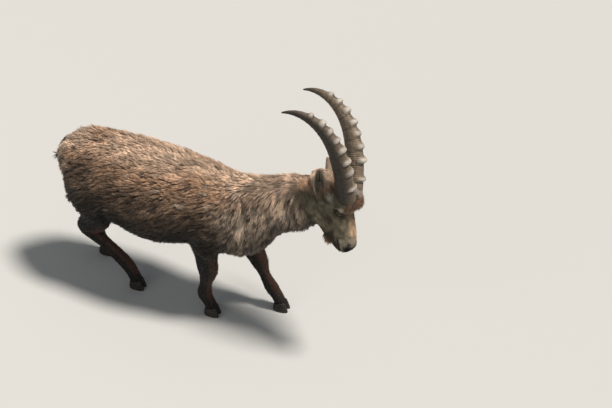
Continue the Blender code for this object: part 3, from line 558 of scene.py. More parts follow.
def bodyPlaces(points):
    # Shares from 0 to 1 of each region, the lie of the coat and a place on an unwrap of the skin
    x, y, z = points.T
    local = intoHead(points)
    rows = paths["trunk"]
    centres = columns(rows[:, 0], 0, rows[:, 1])
    step = alongPath(points * (1, 0.25, 1), centres)[0]
    lean = np.radians(rows[step, 4])
    rise = (x - centres[step, 0]) * -np.sin(lean) + (z - centres[step, 2]) * np.cos(lean)
    height = rise / rows[step, 2]
    angle = np.arctan2(y / rows[step, 3], height)
    unwrap = columns(0.02 + 0.56 * step / pathSteps["trunk"], 0.5 + 0.47 * angle / np.pi)
    tilt = math.radians(nape["lean"])
    headShare = ramp((x - nape["x"]) * math.cos(tilt) + (z - nape["z"]) * math.sin(tilt), -0.01, 0.03)
    neck = ramp(x, -0.02, 0.12) * (1 - headShare)
    low = np.clip((0.72 - z) / 0.30, 0, 1)
    rump = np.clip((-0.50 - x) / 0.15, 0, 1)
    hang = neck * ramp(height, 0.95, 0.45)
    down = 0.18 + 0.55 * low + 3.2 * hang + rump * (0.30 + 0.6 * low)
    lie = columns(-1.0 + 0.70 * hang, 0, -down)
    leg = 0 * x
    front = 0 * x
    for number, name in enumerate(legs["rows"]):
        path = paths[name]
        step, gap = alongPath(points, path[:, :3])
        tangent = unit(np.gradient(path[:, :3], axis=0))[step]
        radius = path[step, 3]
        share = ramp(gap, 1.35 * radius + 0.012, 1.10 * radius + 0.004) * ramp(z, 0.42, 0.335)
        lie = lie + (tangent * 1.2 - lie) * share[:, None]
        leg = np.maximum(leg, share)
        offset = points - path[step, :3]
        ahead = np.cross(np.array([0.0, 1.0, 0.0]), tangent)
        turn = np.arctan2(offset[:, 1], -(offset * ahead).sum(axis=1))
        front = np.where(share > 0.3, np.cos(turn), front)
        spot = columns(0.605 + 0.095 * number + 0.085 * (0.5 + turn / (2 * np.pi)),
                       0.53 + 0.44 * step / pathSteps["leg"])
        unwrap = np.where((share > 0.5)[:, None], spot, unwrap)
    path = paths["tail"]
    step, gap = alongPath(points, path[:, :3])
    tailShare = ramp(gap, 0.034, 0.026) * ramp(x, -0.685, -0.70)
    tangent = unit(np.gradient(path[:, :3], axis=0))[step]
    lie = lie + (tangent - lie) * tailShare[:, None]
    turn = np.arctan2(y, x - path[step, 0] + z - path[step, 2])
    spot = columns(0.83 + 0.14 * (0.5 + turn / (2 * np.pi)), 0.02 + 0.20 * step / pathSteps["tail"])
    unwrap = np.where((tailShare > 0.5)[:, None], spot, unwrap)
    faceLie = columns(-1, 0.25 * local[:, 1] / 0.06, -0.30 * ramp(local[:, 2], 0.12, 0.02))
    lie = lie + (faceLie @ headTurn[:3, :3].T - lie) * headShare[:, None]
    turn = np.arctan2(local[:, 1], local[:, 2] - 0.04)
    spot = columns(0.605 + 0.20 * (0.5 + turn / (2 * np.pi)),
                   0.02 + 0.48 * np.clip((local[:, 0] + 0.07) / 0.37, 0, 1))
    unwrap = np.where((headShare > 0.5)[:, None], spot, unwrap)
    body = 1 - headShare
    return {"height": height, "local": local, "head": headShare, "neck": neck, "leg": leg * body,
            "tail": tailShare, "front": front, "belly": ramp(height, -0.55, -0.95) * (1 - leg) * body,
            "back": ramp(height, 0.70, 0.97) * body, "lie": lie, "unwrap": unwrap}


# underShade is painted shade for the underside, and sunlitRusset is painted sunlight on the front of the
# lower legs. cream and greyBeige are partly painted light on the back and the neck's side.
colours = {
    "cream": (0.82, 0.595, 0.430), "tan": (0.56, 0.335, 0.205), "brown": (0.225, 0.140, 0.086),
    "greyBeige": (0.74, 0.580, 0.440), "dark": (0.044, 0.029, 0.016), "underShade": (0.016, 0.012, 0.006),
    "black": (0.007, 0.005, 0.004), "rust": (0.30, 0.150, 0.070), "sunlitRusset": (0.075, 0.031, 0.016),
    "white": (0.62, 0.56, 0.47), "faceGrey": (0.200, 0.170, 0.110), "muzzle": (0.24, 0.205, 0.150),
    "nasal": (0.43, 0.280, 0.175),
}
palette = {name: np.array(value) for name, value in colours.items()}


def painted(base, colour, share):
    return base + (palette[colour] - base) * np.clip(share, 0, 1)[:, None]


def markings(points, place):
    # Colour of the coat's tips: pale on the back, brown flanks, dark belly and legs, patterned head. These
    # bands are partly the coat's own colour and partly painted light: the pale back holds painted sunlight
    # and the dark lower flanks, belly and legs hold painted shade. Each layer is a colour and where it covers
    # what is under it.
    x, y, z = points.T
    height, neck, leg, tailShare = (place[key] for key in ("height", "neck", "leg", "tail"))
    body = 1 - place["head"]
    big = patches(points, 0.11, 3)
    small = patches(points, 0.035, 4)
    ragged = height + 0.35 * (big - 0.5)
    rear = ramp(x, -0.62, -0.70) * ramp(z, 0.46, 0.52) * ramp(z, 0.66, 0.62)
    # sunlitShin is the front of the lower legs, where painted sunlight is put
    sunlitShin = leg * ramp(place["front"], 0.35, 0.85) * ramp(z, 0.40, 0.30) * ramp(z, 0.06, 0.10)
    tint = np.tile(palette["brown"], (len(points), 1))
    for colour, share in (
            ("tan", ramp(ragged, 0.30, 0.78) * (0.55 + 0.6 * small)),
            # the cream along the top of the back is partly painted sunlight
            ("cream", ramp(ragged, 0.72, 1.0) * 0.9),
            # on the neck the cream and the greyBeige are partly painted light, lightened for the neck's lit
            # side
            ("cream", neck * ramp(height, 0.45, 0.85) * 0.8),
            ("greyBeige", ramp(x, -0.06, 0.10) * body * ramp(ragged, 0.8, 0.3) * (0.45 + 0.55 * small)),
            # the dark and underShade bands low on the flanks are partly painted shade, darker towards the
            # belly
            ("dark", ramp(ragged, 0.30, -0.30) * (0.92 - 0.55 * neck)),
            ("underShade", ramp(ragged, 0.00, -0.55) * (1 - 0.35 * neck)),
            ("dark", ramp(big + 0.6 * small, 0.90, 1.20) * 0.55 * ramp(height, 0.85, 0.5)),
            ("white", rear * ramp(np.abs(y), 0.02, 0.045) * ramp(small, 0.35, 0.6) * 0.45),
            # painted shadow: a black stripe down the middle of the rear under the tail root
            ("black", rear * ramp(np.abs(y), 0.035, 0.018) * 0.8),
            # painted shade: the lowest part of the body is covered with underShade
            ("underShade", ramp(z, 0.40, 0.33) * body * (1 - neck)),
            # the legs are black partly as their own dark colour and partly as painted shade
            ("black", leg * 0.92),
            # painted sunlight on the front of the lower legs, in sunlitRusset
            ("sunlitRusset", sunlitShin * 0.85),
            ("brown", tailShare),
            ("dark", tailShare * ramp(small, 0.45, 0.65) * 0.8),
            ("white", tailShare * ramp(np.abs(y), 0.007, 0.014) * 0.55)):
        tint = painted(tint, colour, share)
    face = markHead(place["local"], tint, small)
    return tint + (face - tint) * place["head"][:, None]


def markHead(local, tint, small):
    # The head's layers, in the head's own axes
    x, y, z = local.T
    q, share, along, high = eyePlace(local)
    near = np.linalg.norm(q, axis=1)
    nostril = np.linalg.norm(nosePlace(local) * (0.8, 1, 1), axis=1)
    top = ramp(z, 0.095, 0.125) * ramp(np.abs(y), 0.034, 0.020)
    brow = hump(high, 0.0160, 0.0030) * ramp(np.abs(along), 0.017, 0.008) * (q[:, 1] > 0)
    face = tint * 0.8
    for colour, share in (
            ("faceGrey", ramp(x, -0.02, 0.05)),
            ("nasal", top * ramp(x, 0.10, 0.14) * ramp(x, 0.268, 0.24) * 0.9),
            ("rust", ramp(z, 0.10, 0.13) * ramp(x, 0.05, 0.075) * ramp(x, 0.150, 0.09) * 0.45),
            ("dark", np.exp(-((x - 0.125) / 0.030) ** 2 - ((z - 0.035) / 0.026) ** 2) * 0.8),
            ("muzzle", ramp(x, 0.19, 0.23) * ramp(z, 0.055, 0.075) * 0.9),
            ("dark", ramp(z, 0.060, 0.045) * ramp(x, 0.15, 0.20) * 0.9),
            ("white", brow * 0.16),
            ("white", np.exp(-((x - 0.030) / 0.014) ** 2 - ((z - 0.058) / 0.014) ** 2) * 0.5 * (0.4 + small)),
            ("dark", ramp(near, 0.040, 0.026) * (high < 0.004) * 0.75),
            ("black", ramp(share, 1.75, 1.30)),
            ("black", ramp(nostril, 0.019, 0.012)),
            ("black", ramp(x, 0.243, 0.256) * ramp(z, 0.074, 0.088)),
            ("dark", ramp(x, 0.205, 0.235) * ramp(z, 0.078, 0.062) * 0.92),
            ("black", ramp(np.abs(mouthGap(local)), 0.0065, 0.003) * ramp(x, 0.200, 0.220))):
        face = painted(face, colour, share)
    return face * (0.40 + 1.2 * patches(local, 0.013, 6) * (0.5 + small))[:, None]


def bareness(local):
    # 1 where no hair grows: the eye's opening and rim, nostrils, lips' edges and nose pad
    share = eyePlace(local)[1]
    lips = ramp(np.abs(mouthGap(local)), 0.0050, 0.0028) * ramp(local[:, 0], 0.200, 0.215)
    pad = ramp(local[:, 0], 0.270, 0.278) * ramp(local[:, 2], 0.090, 0.100)
    nostril = ramp(np.linalg.norm(nosePlace(local), axis=1), 0.0130, 0.0095)
    return np.maximum.reduce([ramp(share, 1.45, 1.30), nostril, lips, pad])


# Shader maths

class Wire:
    # A socket on which Python arithmetic adds Math nodes
    def __init__(self, finish, socket):
        self.finish, self.socket = finish, socket

    def maths(self, operation, first, second):
        return self.finish.node("ShaderNodeMath", {"operation": operation}, {0: first, 1: second})

    def __add__(self, other):
        return self.maths("ADD", self, other)

    def __sub__(self, other):
        return self.maths("SUBTRACT", self, other)

    def __rsub__(self, other):
        return self.maths("SUBTRACT", other, self)

    def __mul__(self, other):
        return self.maths("MULTIPLY", self, other)

    def __pow__(self, other):
        return self.maths("POWER", self, other)


class Finish:
    # A material with one Principled shader; fixed values go straight onto its sockets
    def __init__(self, name, **fixed):
        self.material = bpy.data.materials.new(name)
        self.material.use_nodes = True
        self.tree = self.material.node_tree
        self.shader = self.tree.nodes["Principled BSDF"]
        for key, value in fixed.items():
            self.shader.inputs[key.replace("_", " ")].default_value = value

    def node(self, kind, settings=None, sockets=None, output=0):
        made = self.tree.nodes.new(kind)
        for key, value in (settings or {}).items():
            if key == "stops":
                self.setStops(made.color_ramp, value)
            else:
                setattr(made, key, value)
        for key, value in (sockets or {}).items():
            self.join(made.inputs[key], value)
        return Wire(self, made.outputs[output])

    def setStops(self, strip, stops):
        while len(strip.elements) < len(stops):
            strip.elements.new(0.5)
        for element, (place, colour) in zip(strip.elements, stops):
            element.position = place
            element.color = (*colour, 1.0)

    def join(self, socket, value):
        if isinstance(value, Wire):
            self.tree.links.new(value.socket, socket)
        else:
            socket.default_value = value

    def mix(self, share, first, second):
        return self.node("ShaderNodeMix", {"data_type": "RGBA"}, {0: share, 6: first, 7: second}, 2)

    def scaled(self, colour, factor):
        return self.node("ShaderNodeVectorMath", {"operation": "SCALE"}, {0: colour, "Scale": factor})

    def strip(self, value, *stops):
        return self.node("ShaderNodeValToRGB", {"stops": stops}, {"Fac": value})

    def attribute(self, name, output="Color"):
        return self.node("ShaderNodeAttribute", {"attribute_name": name}, None, output)

    def objectPlace(self, scale=(1, 1, 1)):
        place = self.node("ShaderNodeTexCoord", None, None, "Object")
        return self.node("ShaderNodeMapping", None, {"Vector": place, "Scale": scale})

    def mapPlace(self, name, scale):
        place = self.node("ShaderNodeUVMap", {"uv_map": name})
        return self.node("ShaderNodeMapping", None, {"Vector": place, "Scale": scale})

    def noise(self, place, scale, detail=2.0, roughness=0.5):
        sockets = {"Vector": place, "Scale": scale, "Detail": detail, "Roughness": roughness}
        return self.node("ShaderNodeTexNoise", None, sockets)

    def range(self, value, low, high, first=0.0, last=1.0):
        sockets = {0: value, 1: low, 2: high, 3: first, 4: last}
        return self.node("ShaderNodeMapRange", {"clamp": True}, sockets)

    def bump(self, height, strength, distance):
        sockets = {"Height": height, "Strength": strength, "Distance": distance}
        return self.node("ShaderNodeBump", None, sockets)

    def feed(self, **wires):
        for key, value in wires.items():
            self.join(self.shader.inputs[key.replace("_", " ")], value)
        return self.material


def coatMaterial():
    # Fine streaks run along each tuft; the tint comes from the markings
    finish = Finish("coat_hair", Specular_IOR_Level=0.22, Sheen_Weight=0.12, Sheen_Roughness=0.5)
    tint = finish.attribute("coatTint")
    streak = finish.noise(finish.mapPlace("Strand", (9, 1.2, 1)), 1.0, 3.0, 0.6)
    speck = finish.noise(finish.objectPlace(), 260.0, 1.0)
    shade = finish.range(streak + speck * 0.5, 0.45, 1.05, 0.66, 1.28)
    return finish.feed(Base_Color=finish.scaled(tint, shade),
                       Roughness=finish.range(streak, 0.3, 0.7, 0.62, 0.85),
                       Normal=finish.bump(streak, 0.5, 0.0006))


def skinMaterial():
    # Short hair drawn as fine streaks, with damp bare skin on lids, nose and lips
    finish = Finish("skin_short_hair", Specular_IOR_Level=0.3)
    tint = finish.attribute("coatTint")
    bare = finish.attribute("bare", "Fac")
    hair = finish.noise(finish.mapPlace("Lie", (900, 130, 1)), 1.0, 3.0, 0.65)
    pores = finish.noise(finish.objectPlace(), 900.0, 2.0)
    height = hair * (1 - bare) + pores * bare * 0.5
    shade = finish.range(hair, 0.25, 0.75, 0.55, 1.3)
    return finish.feed(Base_Color=finish.scaled(tint, shade),
                       Roughness=finish.range(bare, 0.0, 1.0, 0.80, 0.34),
                       Normal=finish.bump(height, 0.6, 0.0012))


# Tufts

# Place along the blade and share of the full width there; every blade ends in a point
blades = {"long": ((0.0, 0.75), (0.36, 1.0), (0.70, 0.72)), "short": ((0.0, 0.85), (0.45, 1.0))}
bladeThickness = 0.30


def tuftPiece(name, kind, root, normal, lie, size, tints, unwrap):
    # Each tuft is a flat three-sided blade. Its middle line runs along the lie by its length, rises
    # off the skin, bends sideways, is drawn to its clump's tip and hugs the body's curve.
    rings = blades[kind]
    count = len(root)
    side = unit(np.cross(lie, normal))
    length, width, lift, sink, bend, hug = (size[key][:, None] for key in
                                            ("length", "width", "lift", "sink", "bend", "hug"))
    rows, shares = [], []
    for t, wide in rings + ((1.0, 0.0),):
        spot = root + lie * length * t + side * (bend * length * t * t) + size["pull"] * t**1.4
        spot = spot + normal * (lift * (1 - (1 - t) ** 1.6) - sink * (1 - t) - (length * t) ** 2 * hug)
        if wide:
            thick = normal * width * bladeThickness
            edge = side * width * wide
            rows += [spot - edge - thick * 0.4, spot + thick * 0.9, spot + edge - thick * 0.4]
            shares += [(0.0, t), (0.5, t), (1.0, t)]
        else:
            rows.append(spot)
            shares.append((0.5, 1.0))
    points = np.stack(rows, axis=1)
    each = points.shape[1]
    last = each - 4
    pattern = [[0, 1, 2]]
    pattern += [[i + j, i + 3 + j, i + 3 + (j + 1) % 3, i + (j + 1) % 3]
                for i in range(0, last, 3) for j in range(3)]
    pattern += [[last + j, each - 1, last + (j + 1) % 3] for j in range(3)]
    sizes = np.tile([len(face) for face in pattern], count)
    flat = np.array([corner for face in pattern for corner in face])
    loops = (flat[None] + np.arange(count)[:, None] * each).reshape(-1)
    piece = meshPiece(name, points.reshape(-1, 3), loops, sizes)
    shares = np.array(shares)
    t = shares[:, 1][None, :, None]
    # the tint runs from root to tip, so the painted shade at the root fades into the painted light at the tip
    tint = tints[0][:, None] + (tints[1] - tints[0])[:, None] * t**0.8
    giveTint(piece.data, "coatTint", tint.reshape(-1, 3))
    patch = unwrap[:, None] + 0.003 * (shares[None] - 0.5)
    giveMap(piece.data, "OFBake", patch.reshape(-1, 2))
    # each tuft shows its own piece of the streaks
    strand = shares[None] * np.array([1.0, 6.0]) + np.arange(count)[:, None, None] * np.array([3.7, 1.9]) % 97
    giveMap(piece.data, "Strand", strand.reshape(-1, 2))
    piece.data.materials.append(coatHair)
    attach(piece, "root")
    print(name, "has", count, "tufts")
    return piece


# length, half width, lift of the tips, density, pull into tufts, swing of the lie
zones = {
    "back": (0.034, 0.0016, 0.0125, 1.0, 0.80, 0.40), "flank": (0.031, 0.0016, 0.0110, 1.0, 0.80, 0.42),
    "belly": (0.032, 0.0016, 0.0100, 0.9, 0.80, 0.30), "neck": (0.044, 0.0016, 0.0120, 1.1, 0.85, 0.26),
    "leg": (0.016, 0.0012, 0.0040, 1.0, 0.50, 0.20), "tail": (0.036, 0.0015, 0.0080, 1.6, 0.50, 0.20),
    "poll": (0.015, 0.0012, 0.0045, 1.8, 0.55, 0.24), "face": (0.0080, 0.0010, 0.0015, 2.6, 0.25, 0.12),
}


def zoneValues(points, place):
    # Blends the rows of the zones by how far each point belongs to them
    local = place["local"]
    face = place["head"] * ramp(local[:, 0], 0.02, 0.08)
    poll = place["head"] - face
    rest = (1 - place["head"]) * (1 - place["leg"]) * (1 - place["tail"])
    shares = {"face": face, "poll": poll, "leg": place["leg"] * (1 - place["head"]), "tail": place["tail"],
              "neck": rest * place["neck"], "back": rest * (1 - place["neck"]) * place["back"],
              "belly": rest * (1 - place["neck"]) * place["belly"]}
    shares["flank"] = np.clip(1 - sum(shares.values()), 0, 1)
    return sum(np.outer(share, np.array(zones[name])) for name, share in shares.items())


# Tufts gather in cells of the first size and those in shags of the second. The flow of the lie is
# made of waves, each a strength, a size and a seed.
# paintedRootShade darkens each tuft's root as painted shade deep in the coat, and paintedTipLight lightens
# its tip as painted light
coat = {"seed": 41, "tuft": 0.0130, "shag": 0.044, "shagPull": 0.22, "pullLimit": 0.012, "sink": 0.0012,
        "flow": ((2.4, 0.075, 21), (0.9, 0.030, 22)), "stray": 0.14, "thighs": 1.1,
        "bodyTufts": 8800, "headTufts": 15500, "legTufts": 11500, "tailTufts": 1600,
        "paintedRootShade": 0.20, "paintedTipLight": 1.30, "skinDark": 0.55, "rareWhite": 0.975}
hornFoot = {"spot": (0.032, 0.1145), "half": (0.030, 0.041), "edge": 0.94, "reach": (-0.05, 0.050)}


def strewn(chosen, count, draw, density=1.0):
    # Roots spread over the chosen triangles of the skin by area and density, and their normals
    corners, cornerNormals = skinTriangles[0][chosen], skinTriangles[1][chosen]
    area = np.linalg.norm(np.cross(corners[:, 1] - corners[:, 0], corners[:, 2] - corners[:, 0]), axis=1)
    chance = np.cumsum(area * density)
    triangle = np.searchsorted(chance, draw.uniform(0, chance[-1], count))
    u, v = draw.uniform(size=(2, count))
    u, v = np.where(u + v > 1, 1 - u, u), np.where(u + v > 1, 1 - v, v)
    weights = columns(1 - u - v, u, v)[:, :, None]
    root = (corners[triangle] * weights).sum(axis=1)
    return root, unit((cornerNormals[triangle] * weights).sum(axis=1))


def growTufts(name, kind, chosen, count, seed):
    draw = np.random.default_rng(seed)
    middle = skinTriangles[0][chosen].mean(axis=1)
    place = bodyPlaces(middle)
    density = zoneValues(middle, place)[:, 3] * (1 - bareness(place["local"]) * place["head"])
    root, normal = strewn(chosen, count, draw, density)
    keep = clearOfHorns(root)
    return placeTufts(name, kind, root[keep], normal[keep], draw)


def clearOfHorns(root):
    local = intoHead(root)
    y = (np.abs(local[:, 1]) - hornFoot["spot"][0]) / hornFoot["half"][0]
    z = (local[:, 2] - hornFoot["spot"][1]) / hornFoot["half"][1]
    back, front = hornFoot["reach"]
    return (y**2 + z**2 > hornFoot["edge"]) | (local[:, 0] > front) | (local[:, 0] < back)


def drawnSideways(root, side, stretch, size, seed):
    # Way across the lie to the middle line of a tuft; the tufts' cells are twice as long along the coat
    squeezed = root - 0.6 * (root @ stretch)[:, None] * stretch
    spot, cell = clumpsOf(squeezed, size, seed)
    return ((spot - squeezed) * side).sum(axis=1), cell


def placeTufts(name, kind, root, normal, draw):
    # Works out every tuft's size, lie and tint from its place, its clump and chance
    count = len(root)
    place = bodyPlaces(root)
    height, neck = place["height"], place["neck"]
    length, width, lift, density, pull, swing = zoneValues(root, place).T
    shaggy = 1 + coat["thighs"] * place["leg"] * ramp(root[:, 2], 0.22, 0.36)
    blade = draw.uniform(size=(6, count))
    lie = place["lie"]
    stretch = unit(lie.mean(axis=0))
    lie = unit(lie - normal * (lie * normal).sum(axis=1)[:, None])
    flow = sum(strength * (patches(root, wave, seed) - 0.5) for strength, wave, seed in coat["flow"])
    angle = swing * flow + coat["stray"] * (blade[0] - 0.5) * 2
    lie = unit(lie * np.cos(angle)[:, None] + np.cross(lie, normal) * np.sin(angle)[:, None])
    side = np.cross(lie, normal)
    near, tuftCell = drawnSideways(root, side, stretch, coat["tuft"], coat["seed"])
    far, shagCell = drawnSideways(root, side, stretch, coat["shag"], coat["seed"] + 5)
    tuft = [hashed(tuftCell, coat["seed"] + 10 + k) for k in range(4)]
    shag = [hashed(shagCell, coat["seed"] + 20 + k) for k in range(3)]
    drawn = np.clip(near * pull + far * coat["shagPull"] * pull, -coat["pullLimit"], coat["pullLimit"])
    size = {
        "length": length * shaggy * (0.76 + 0.30 * shag[0] + 0.22 * tuft[0]) * (0.84 + 0.32 * blade[1]),
        "width": width * (0.75 + 0.5 * blade[2]),
        "lift": lift * shaggy * (0.30 + 0.75 * shag[1] + 0.55 * tuft[1]) * (0.60 + 0.8 * blade[3]),
        "sink": np.full(count, coat["sink"]), "bend": 0.30 * (blade[4] - 0.5) + 0.20 * (tuft[2] - 0.5),
        # half the curvature that a tuft has to follow: strong round the legs, weak on the trunk
        "hug": 0.8 + 12.0 * place["leg"] + 9.0 * place["tail"] + 2.5 * place["head"],
        "pull": side * drawn[:, None],
    }
    # light is each tuft's lightness: partly the coat's own random tone and partly painted light and shade
    # between clumps, stronger on the neck
    light = (0.74 + 0.52 * shag[2]) * (1 + (tuft[3] - 0.5) * (0.76 + 0.60 * neck)) * (0.84 + 0.32 * blade[5])
    # some clumps on the sides are dark, the back is more even, and legs and head are calmer still
    sides = ramp(height, 0.92, 0.55)
    light = light * np.where(tuft[1] < (0.13 + 0.10 * neck) * sides, 0.40 - 0.12 * neck, 1.0)
    light = light + 0.18 * (1 - light) * (1 - sides)
    calm = np.clip(place["leg"] + place["head"] * 0.7, 0, 1)
    light = light + (1 - light) * calm * 0.7
    pale = (tuft[2] > coat["rareWhite"]) * (1 - calm) * ramp(height, -0.6, 0.0)
    tip = painted(markings(root, place) * light[:, None], "white", 0.35 * pale)
    # each tuft runs from painted shade at its root to painted light at its tip
    tints = (tip * (coat["paintedRootShade"] + 0.45 * calm)[:, None], tip * coat["paintedTipLight"])
    return tuftPiece(name, kind, root, normal, lie, size, tints, place["unwrap"])


skin = buildSkin()
coatHair = coatMaterial()
skinHair = skinMaterial()

skin.data.calc_loop_triangles()
triangles = readOut(skin.data.loop_triangles, "vertices", 3, np.int32)
skinTriangles = (pointsOf(skin.data)[triangles], normalsOf(skin.data)[triangles])


def dressSkin():
    # Joins ears and lid rims to the skin, then gives it the markings, bareness and a map along the lie
    count = len(skin.data.vertices)
    points, loops, sizes = assembled([earRings("left"), earRings("right")])
    rimCount, rimAround = eye["rimCount"], eye["rimAround"]
    i, j = np.meshgrid(np.arange(rimCount), np.arange(rimAround), indexing="ij")
    n, k = (i + 1) % rimCount, (j + 1) % rimAround
    ring = columns(i * rimAround + j, i * rimAround + k, n * rimAround + k, n * rimAround + j).reshape(-1)
    earPoints = len(points) // 2
    for tube in lidRims():
        loops = np.concatenate([loops, ring + len(points)])
        sizes = np.concatenate([sizes, np.full(len(ring) // 4, 4)])
        points = np.concatenate([points, tube.reshape(-1, 3)])
    other = meshPiece("ears_and_lids", points, loops, sizes, shift=False)
    outward(other)
    work = bmesh.new()
    work.from_mesh(skin.data)
    work.from_mesh(other.data)
    work.to_mesh(skin.data)
    work.free()
    bpy.data.objects.remove(other, do_unlink=True)
    everything = pointsOf(skin.data)
    place = bodyPlaces(everything)
    tint = markings(everything, place) * coat["skinDark"]
    tint = tint + tint * (0.45 * np.maximum(place["head"], place["leg"]))[:, None]
    bare = bareness(place["local"]) * place["head"]
    # the ears' rows run over the back and then the inside; their last two points are the poles
    t, half = np.linspace(0, 1, ears["count"]), ears["half"]
    arc = np.abs(np.tile(np.linspace(-1, 1, half), 2))
    t, inner, arc = (np.append(grid.reshape(-1), ends) for grid, ends in zip(
        np.broadcast_arrays(t[:, None], np.arange(2 * half) >= half, arc), ((0, 1), (False, False), (0, 0))))
    # the inside of each ear is faceGrey, darkened towards the cup's middle as painted shade in the hollow and
    # paler at the rim and near the filled root
    shadedHollow = palette["faceGrey"] * (0.14 + 0.9 * ramp(arc, 0.55, 0.9) + 0.5 * ramp(t, 0.45, 0.1))[:, None]
    ear = np.where(inner[:, None], shadedHollow, palette["greyBeige"] * (0.9 - 0.2 * t)[:, None])
    rims = count + 2 * earPoints
    tint[count:rims] = np.tile(ear, (2, 1))
    bare[count:rims] = 0
    tint[rims:] = palette["black"]
    bare[rims:] = 1
    giveTint(skin.data, "coatTint", tint)
    giveValue(skin.data, "bare", bare)
    local = place["local"]
    along = columns(np.arctan2(everything[:, 1], everything[:, 2] - 0.5) * 0.15,
                    everything @ np.array([0.7, 0, 0.7]))
    faceAlong = columns(np.arctan2(local[:, 1], local[:, 2] - 0.04) * 0.06, local[:, 0])
    giveMap(skin.data, "Lie", along + (faceAlong - along) * (place["head"] > 0.5)[:, None])
    skin.data.vertices.foreach_set("co", (everything + standShift).astype(np.float32).ravel())
    skin.data.update()
    skin.data.shade_smooth()
    skin.data.materials.clear()
    skin.data.materials.append(skinHair)
    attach(skin, "root")
    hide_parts("torso", "neck", "head", "tail", "foreleg_left", "foreleg_right",
                "hindleg_left", "hindleg_right", "ear_left", "ear_right")
    print("skin dressed")


middles = skinTriangles[0].mean(axis=1)
middlePlaces = bodyPlaces(middles)
isHead = middlePlaces["head"] > 0.5
isTail = middlePlaces["tail"] > 0.5
isHoof = middles[:, 2] < 0.036
isLimb = ((middlePlaces["leg"] > 0.5) | isTail) & ~isHead
isBody = ~isHead & ~isLimb & ~isHoof
# x between which each section of the body lies
sections = {"rump": (-9, -0.49), "flank": (-0.49, -0.22), "shoulder": (-0.22, 0.045), "neck": (0.045, 9)}
seed = 100
for sectionName, (start, end) in sections.items():
    for sideName, sign in (("left", 1), ("right", -1)):
        chosen = isBody & (middles[:, 0] >= start) & (middles[:, 0] < end) & (middles[:, 1] * sign > 0)
        seed += 1
        tufts = growTufts(f"coat_{sectionName}_{sideName}", "long", chosen, coat["bodyTufts"], seed)
tufts = growTufts("coat_head", "short", isHead, coat["headTufts"], 120)
tufts = growTufts("coat_legs", "short", isLimb & ~isHoof & ~isTail, coat["legTufts"], 121)
tufts = growTufts("coat_tail", "long", isTail, coat["tailTufts"], 122)


# Forelock, beard and the ears' hair

def lockRow(name, local, normal, lie, length, width, lift, tips, rootShadeShare, seed,
            bend=0.3, spread=0.16, hug=0.0):
    # Long tufts given in the head's own axes
    draw = np.random.default_rng(seed)
    count = len(local)
    turn = headTurn[:3, :3].T
    world, up, along = fromHead(local), unit(normal @ turn), unit(lie @ turn)
    along = unit(along - up * (along * up).sum(axis=1)[:, None])
    side = np.cross(along, up)
    angle = spread * draw.normal(size=count)
    along = unit(along * np.cos(angle)[:, None] + side * np.sin(angle)[:, None])
    size = {"length": length * draw.uniform(0.7, 1.2, count), "width": width * draw.uniform(0.8, 1.2, count),
            "lift": lift * draw.uniform(0.4, 1.3, count), "sink": np.full(count, 0.002),
            "bend": bend * draw.uniform(-1, 1, count), "hug": np.full(count, hug),
            "pull": np.zeros((count, 3))}
    light = draw.uniform(0.75, 1.2, count)[:, None]
    # rootShadeShare darkens each lock's root as painted shade
    tints = (tips * rootShadeShare * light, tips * light)
    return tuftPiece(name, "long", world, up, along, size, tints, bodyPlaces(world)["unwrap"])


def skinSpots(chosen, count, seed):
    # Strewn roots and their normals in the head's own axes
    root, normal = strewn(chosen, count, np.random.default_rng(seed))
    return intoHead(root), normal @ headTurn[:3, :3]


forelock = {"back": 0.000, "front": 0.072, "half": 0.050, "above": 0.126, "count": 2600,
            "length": 0.017, "width": 0.0010, "lift": 0.012, "bend": 1.2, "spread": 1.1, "light": 1.15,
            "rootShadeShare": 0.18 / 1.15}


def growForelock():
    # Rusty tufts stand out of the forehead before the horns and fall towards the nose
    x, y, z = middlePlaces["local"].T
    chosen = isHead & (x > forelock["back"]) & (x < forelock["front"])
    chosen = chosen & (np.abs(y) < forelock["half"]) & (z > forelock["above"])
    spots, normals = skinSpots(chosen, forelock["count"], 131)
    keep = clearOfHorns(fromHead(spots))
    spots, normals = spots[keep], normals[keep]
    tips = np.tile(palette["brown"], (len(spots), 1))
    for colour, size, seed, low, high, share in (
            ("rust", 0.010, 9, 0.30, 0.6, ramp(spots[:, 2], 0.135, 0.155)),
            ("tan", 0.008, 8, 0.5, 0.8, 0.8),
            ("dark", 0.008, 10, 0.5, 0.75, 0.75),
            ("white", 0.012, 7, 0.15, 0.40, ramp(spots[:, 0], 0.036, 0.022))):
        tips = painted(tips, colour, ramp(patches(spots, size, seed), low, high) * share)
    lie = columns(1, 0.8 * spots[:, 1] / 0.03, 0)
    piece = lockRow("coat_forelock", spots, normals, lie, forelock["length"], forelock["width"],
                    forelock["lift"], tips * forelock["light"], forelock["rootShadeShare"], 132,
                    bend=forelock["bend"], spread=forelock["spread"])


beard = {"x": 0.208, "halfLength": 0.012, "halfWidth": 0.010, "below": 0.040, "count": 260,
         "length": 0.030, "width": 0.0010, "lift": 0.003, "light": 0.8}


def growBeard():
    # A short beard hangs straight down under the chin
    x, y, z = middlePlaces["local"].T
    chosen = isHead & (np.abs(x - beard["x"]) < beard["halfLength"])
    chosen = chosen & (np.abs(y) < beard["halfWidth"]) & (z < beard["below"])
    spots, normals = skinSpots(chosen, beard["count"], 133)
    count = len(spots)
    lie = np.tile((np.array([0.1, 0.0, -1.0]) @ headTurn[:3, :3]), (count, 1))
    tips = np.tile(palette["tan"] * beard["light"], (count, 1))
    piece = lockRow("coat_beard", spots, np.array([0.0, 1.0, 0.0]) + 0.8 * normals, lie, beard["length"],
                    beard["width"], beard["lift"], tips, 0.4, 134)


# Hairs, how far up the ear they grow, length, lift, lean across the ear, tint and its share
earHair = {"rim": (900, 0.97, 0.009, 0.002, 0.1, "white", 0.9),
           "inner": (300, 0.52, 0.020, 0.006, -0.5, "muzzle", 1.0),
           "back": (900, 0.97, 0.008, 0.0014, 0.1, "greyBeige", 1.0)}


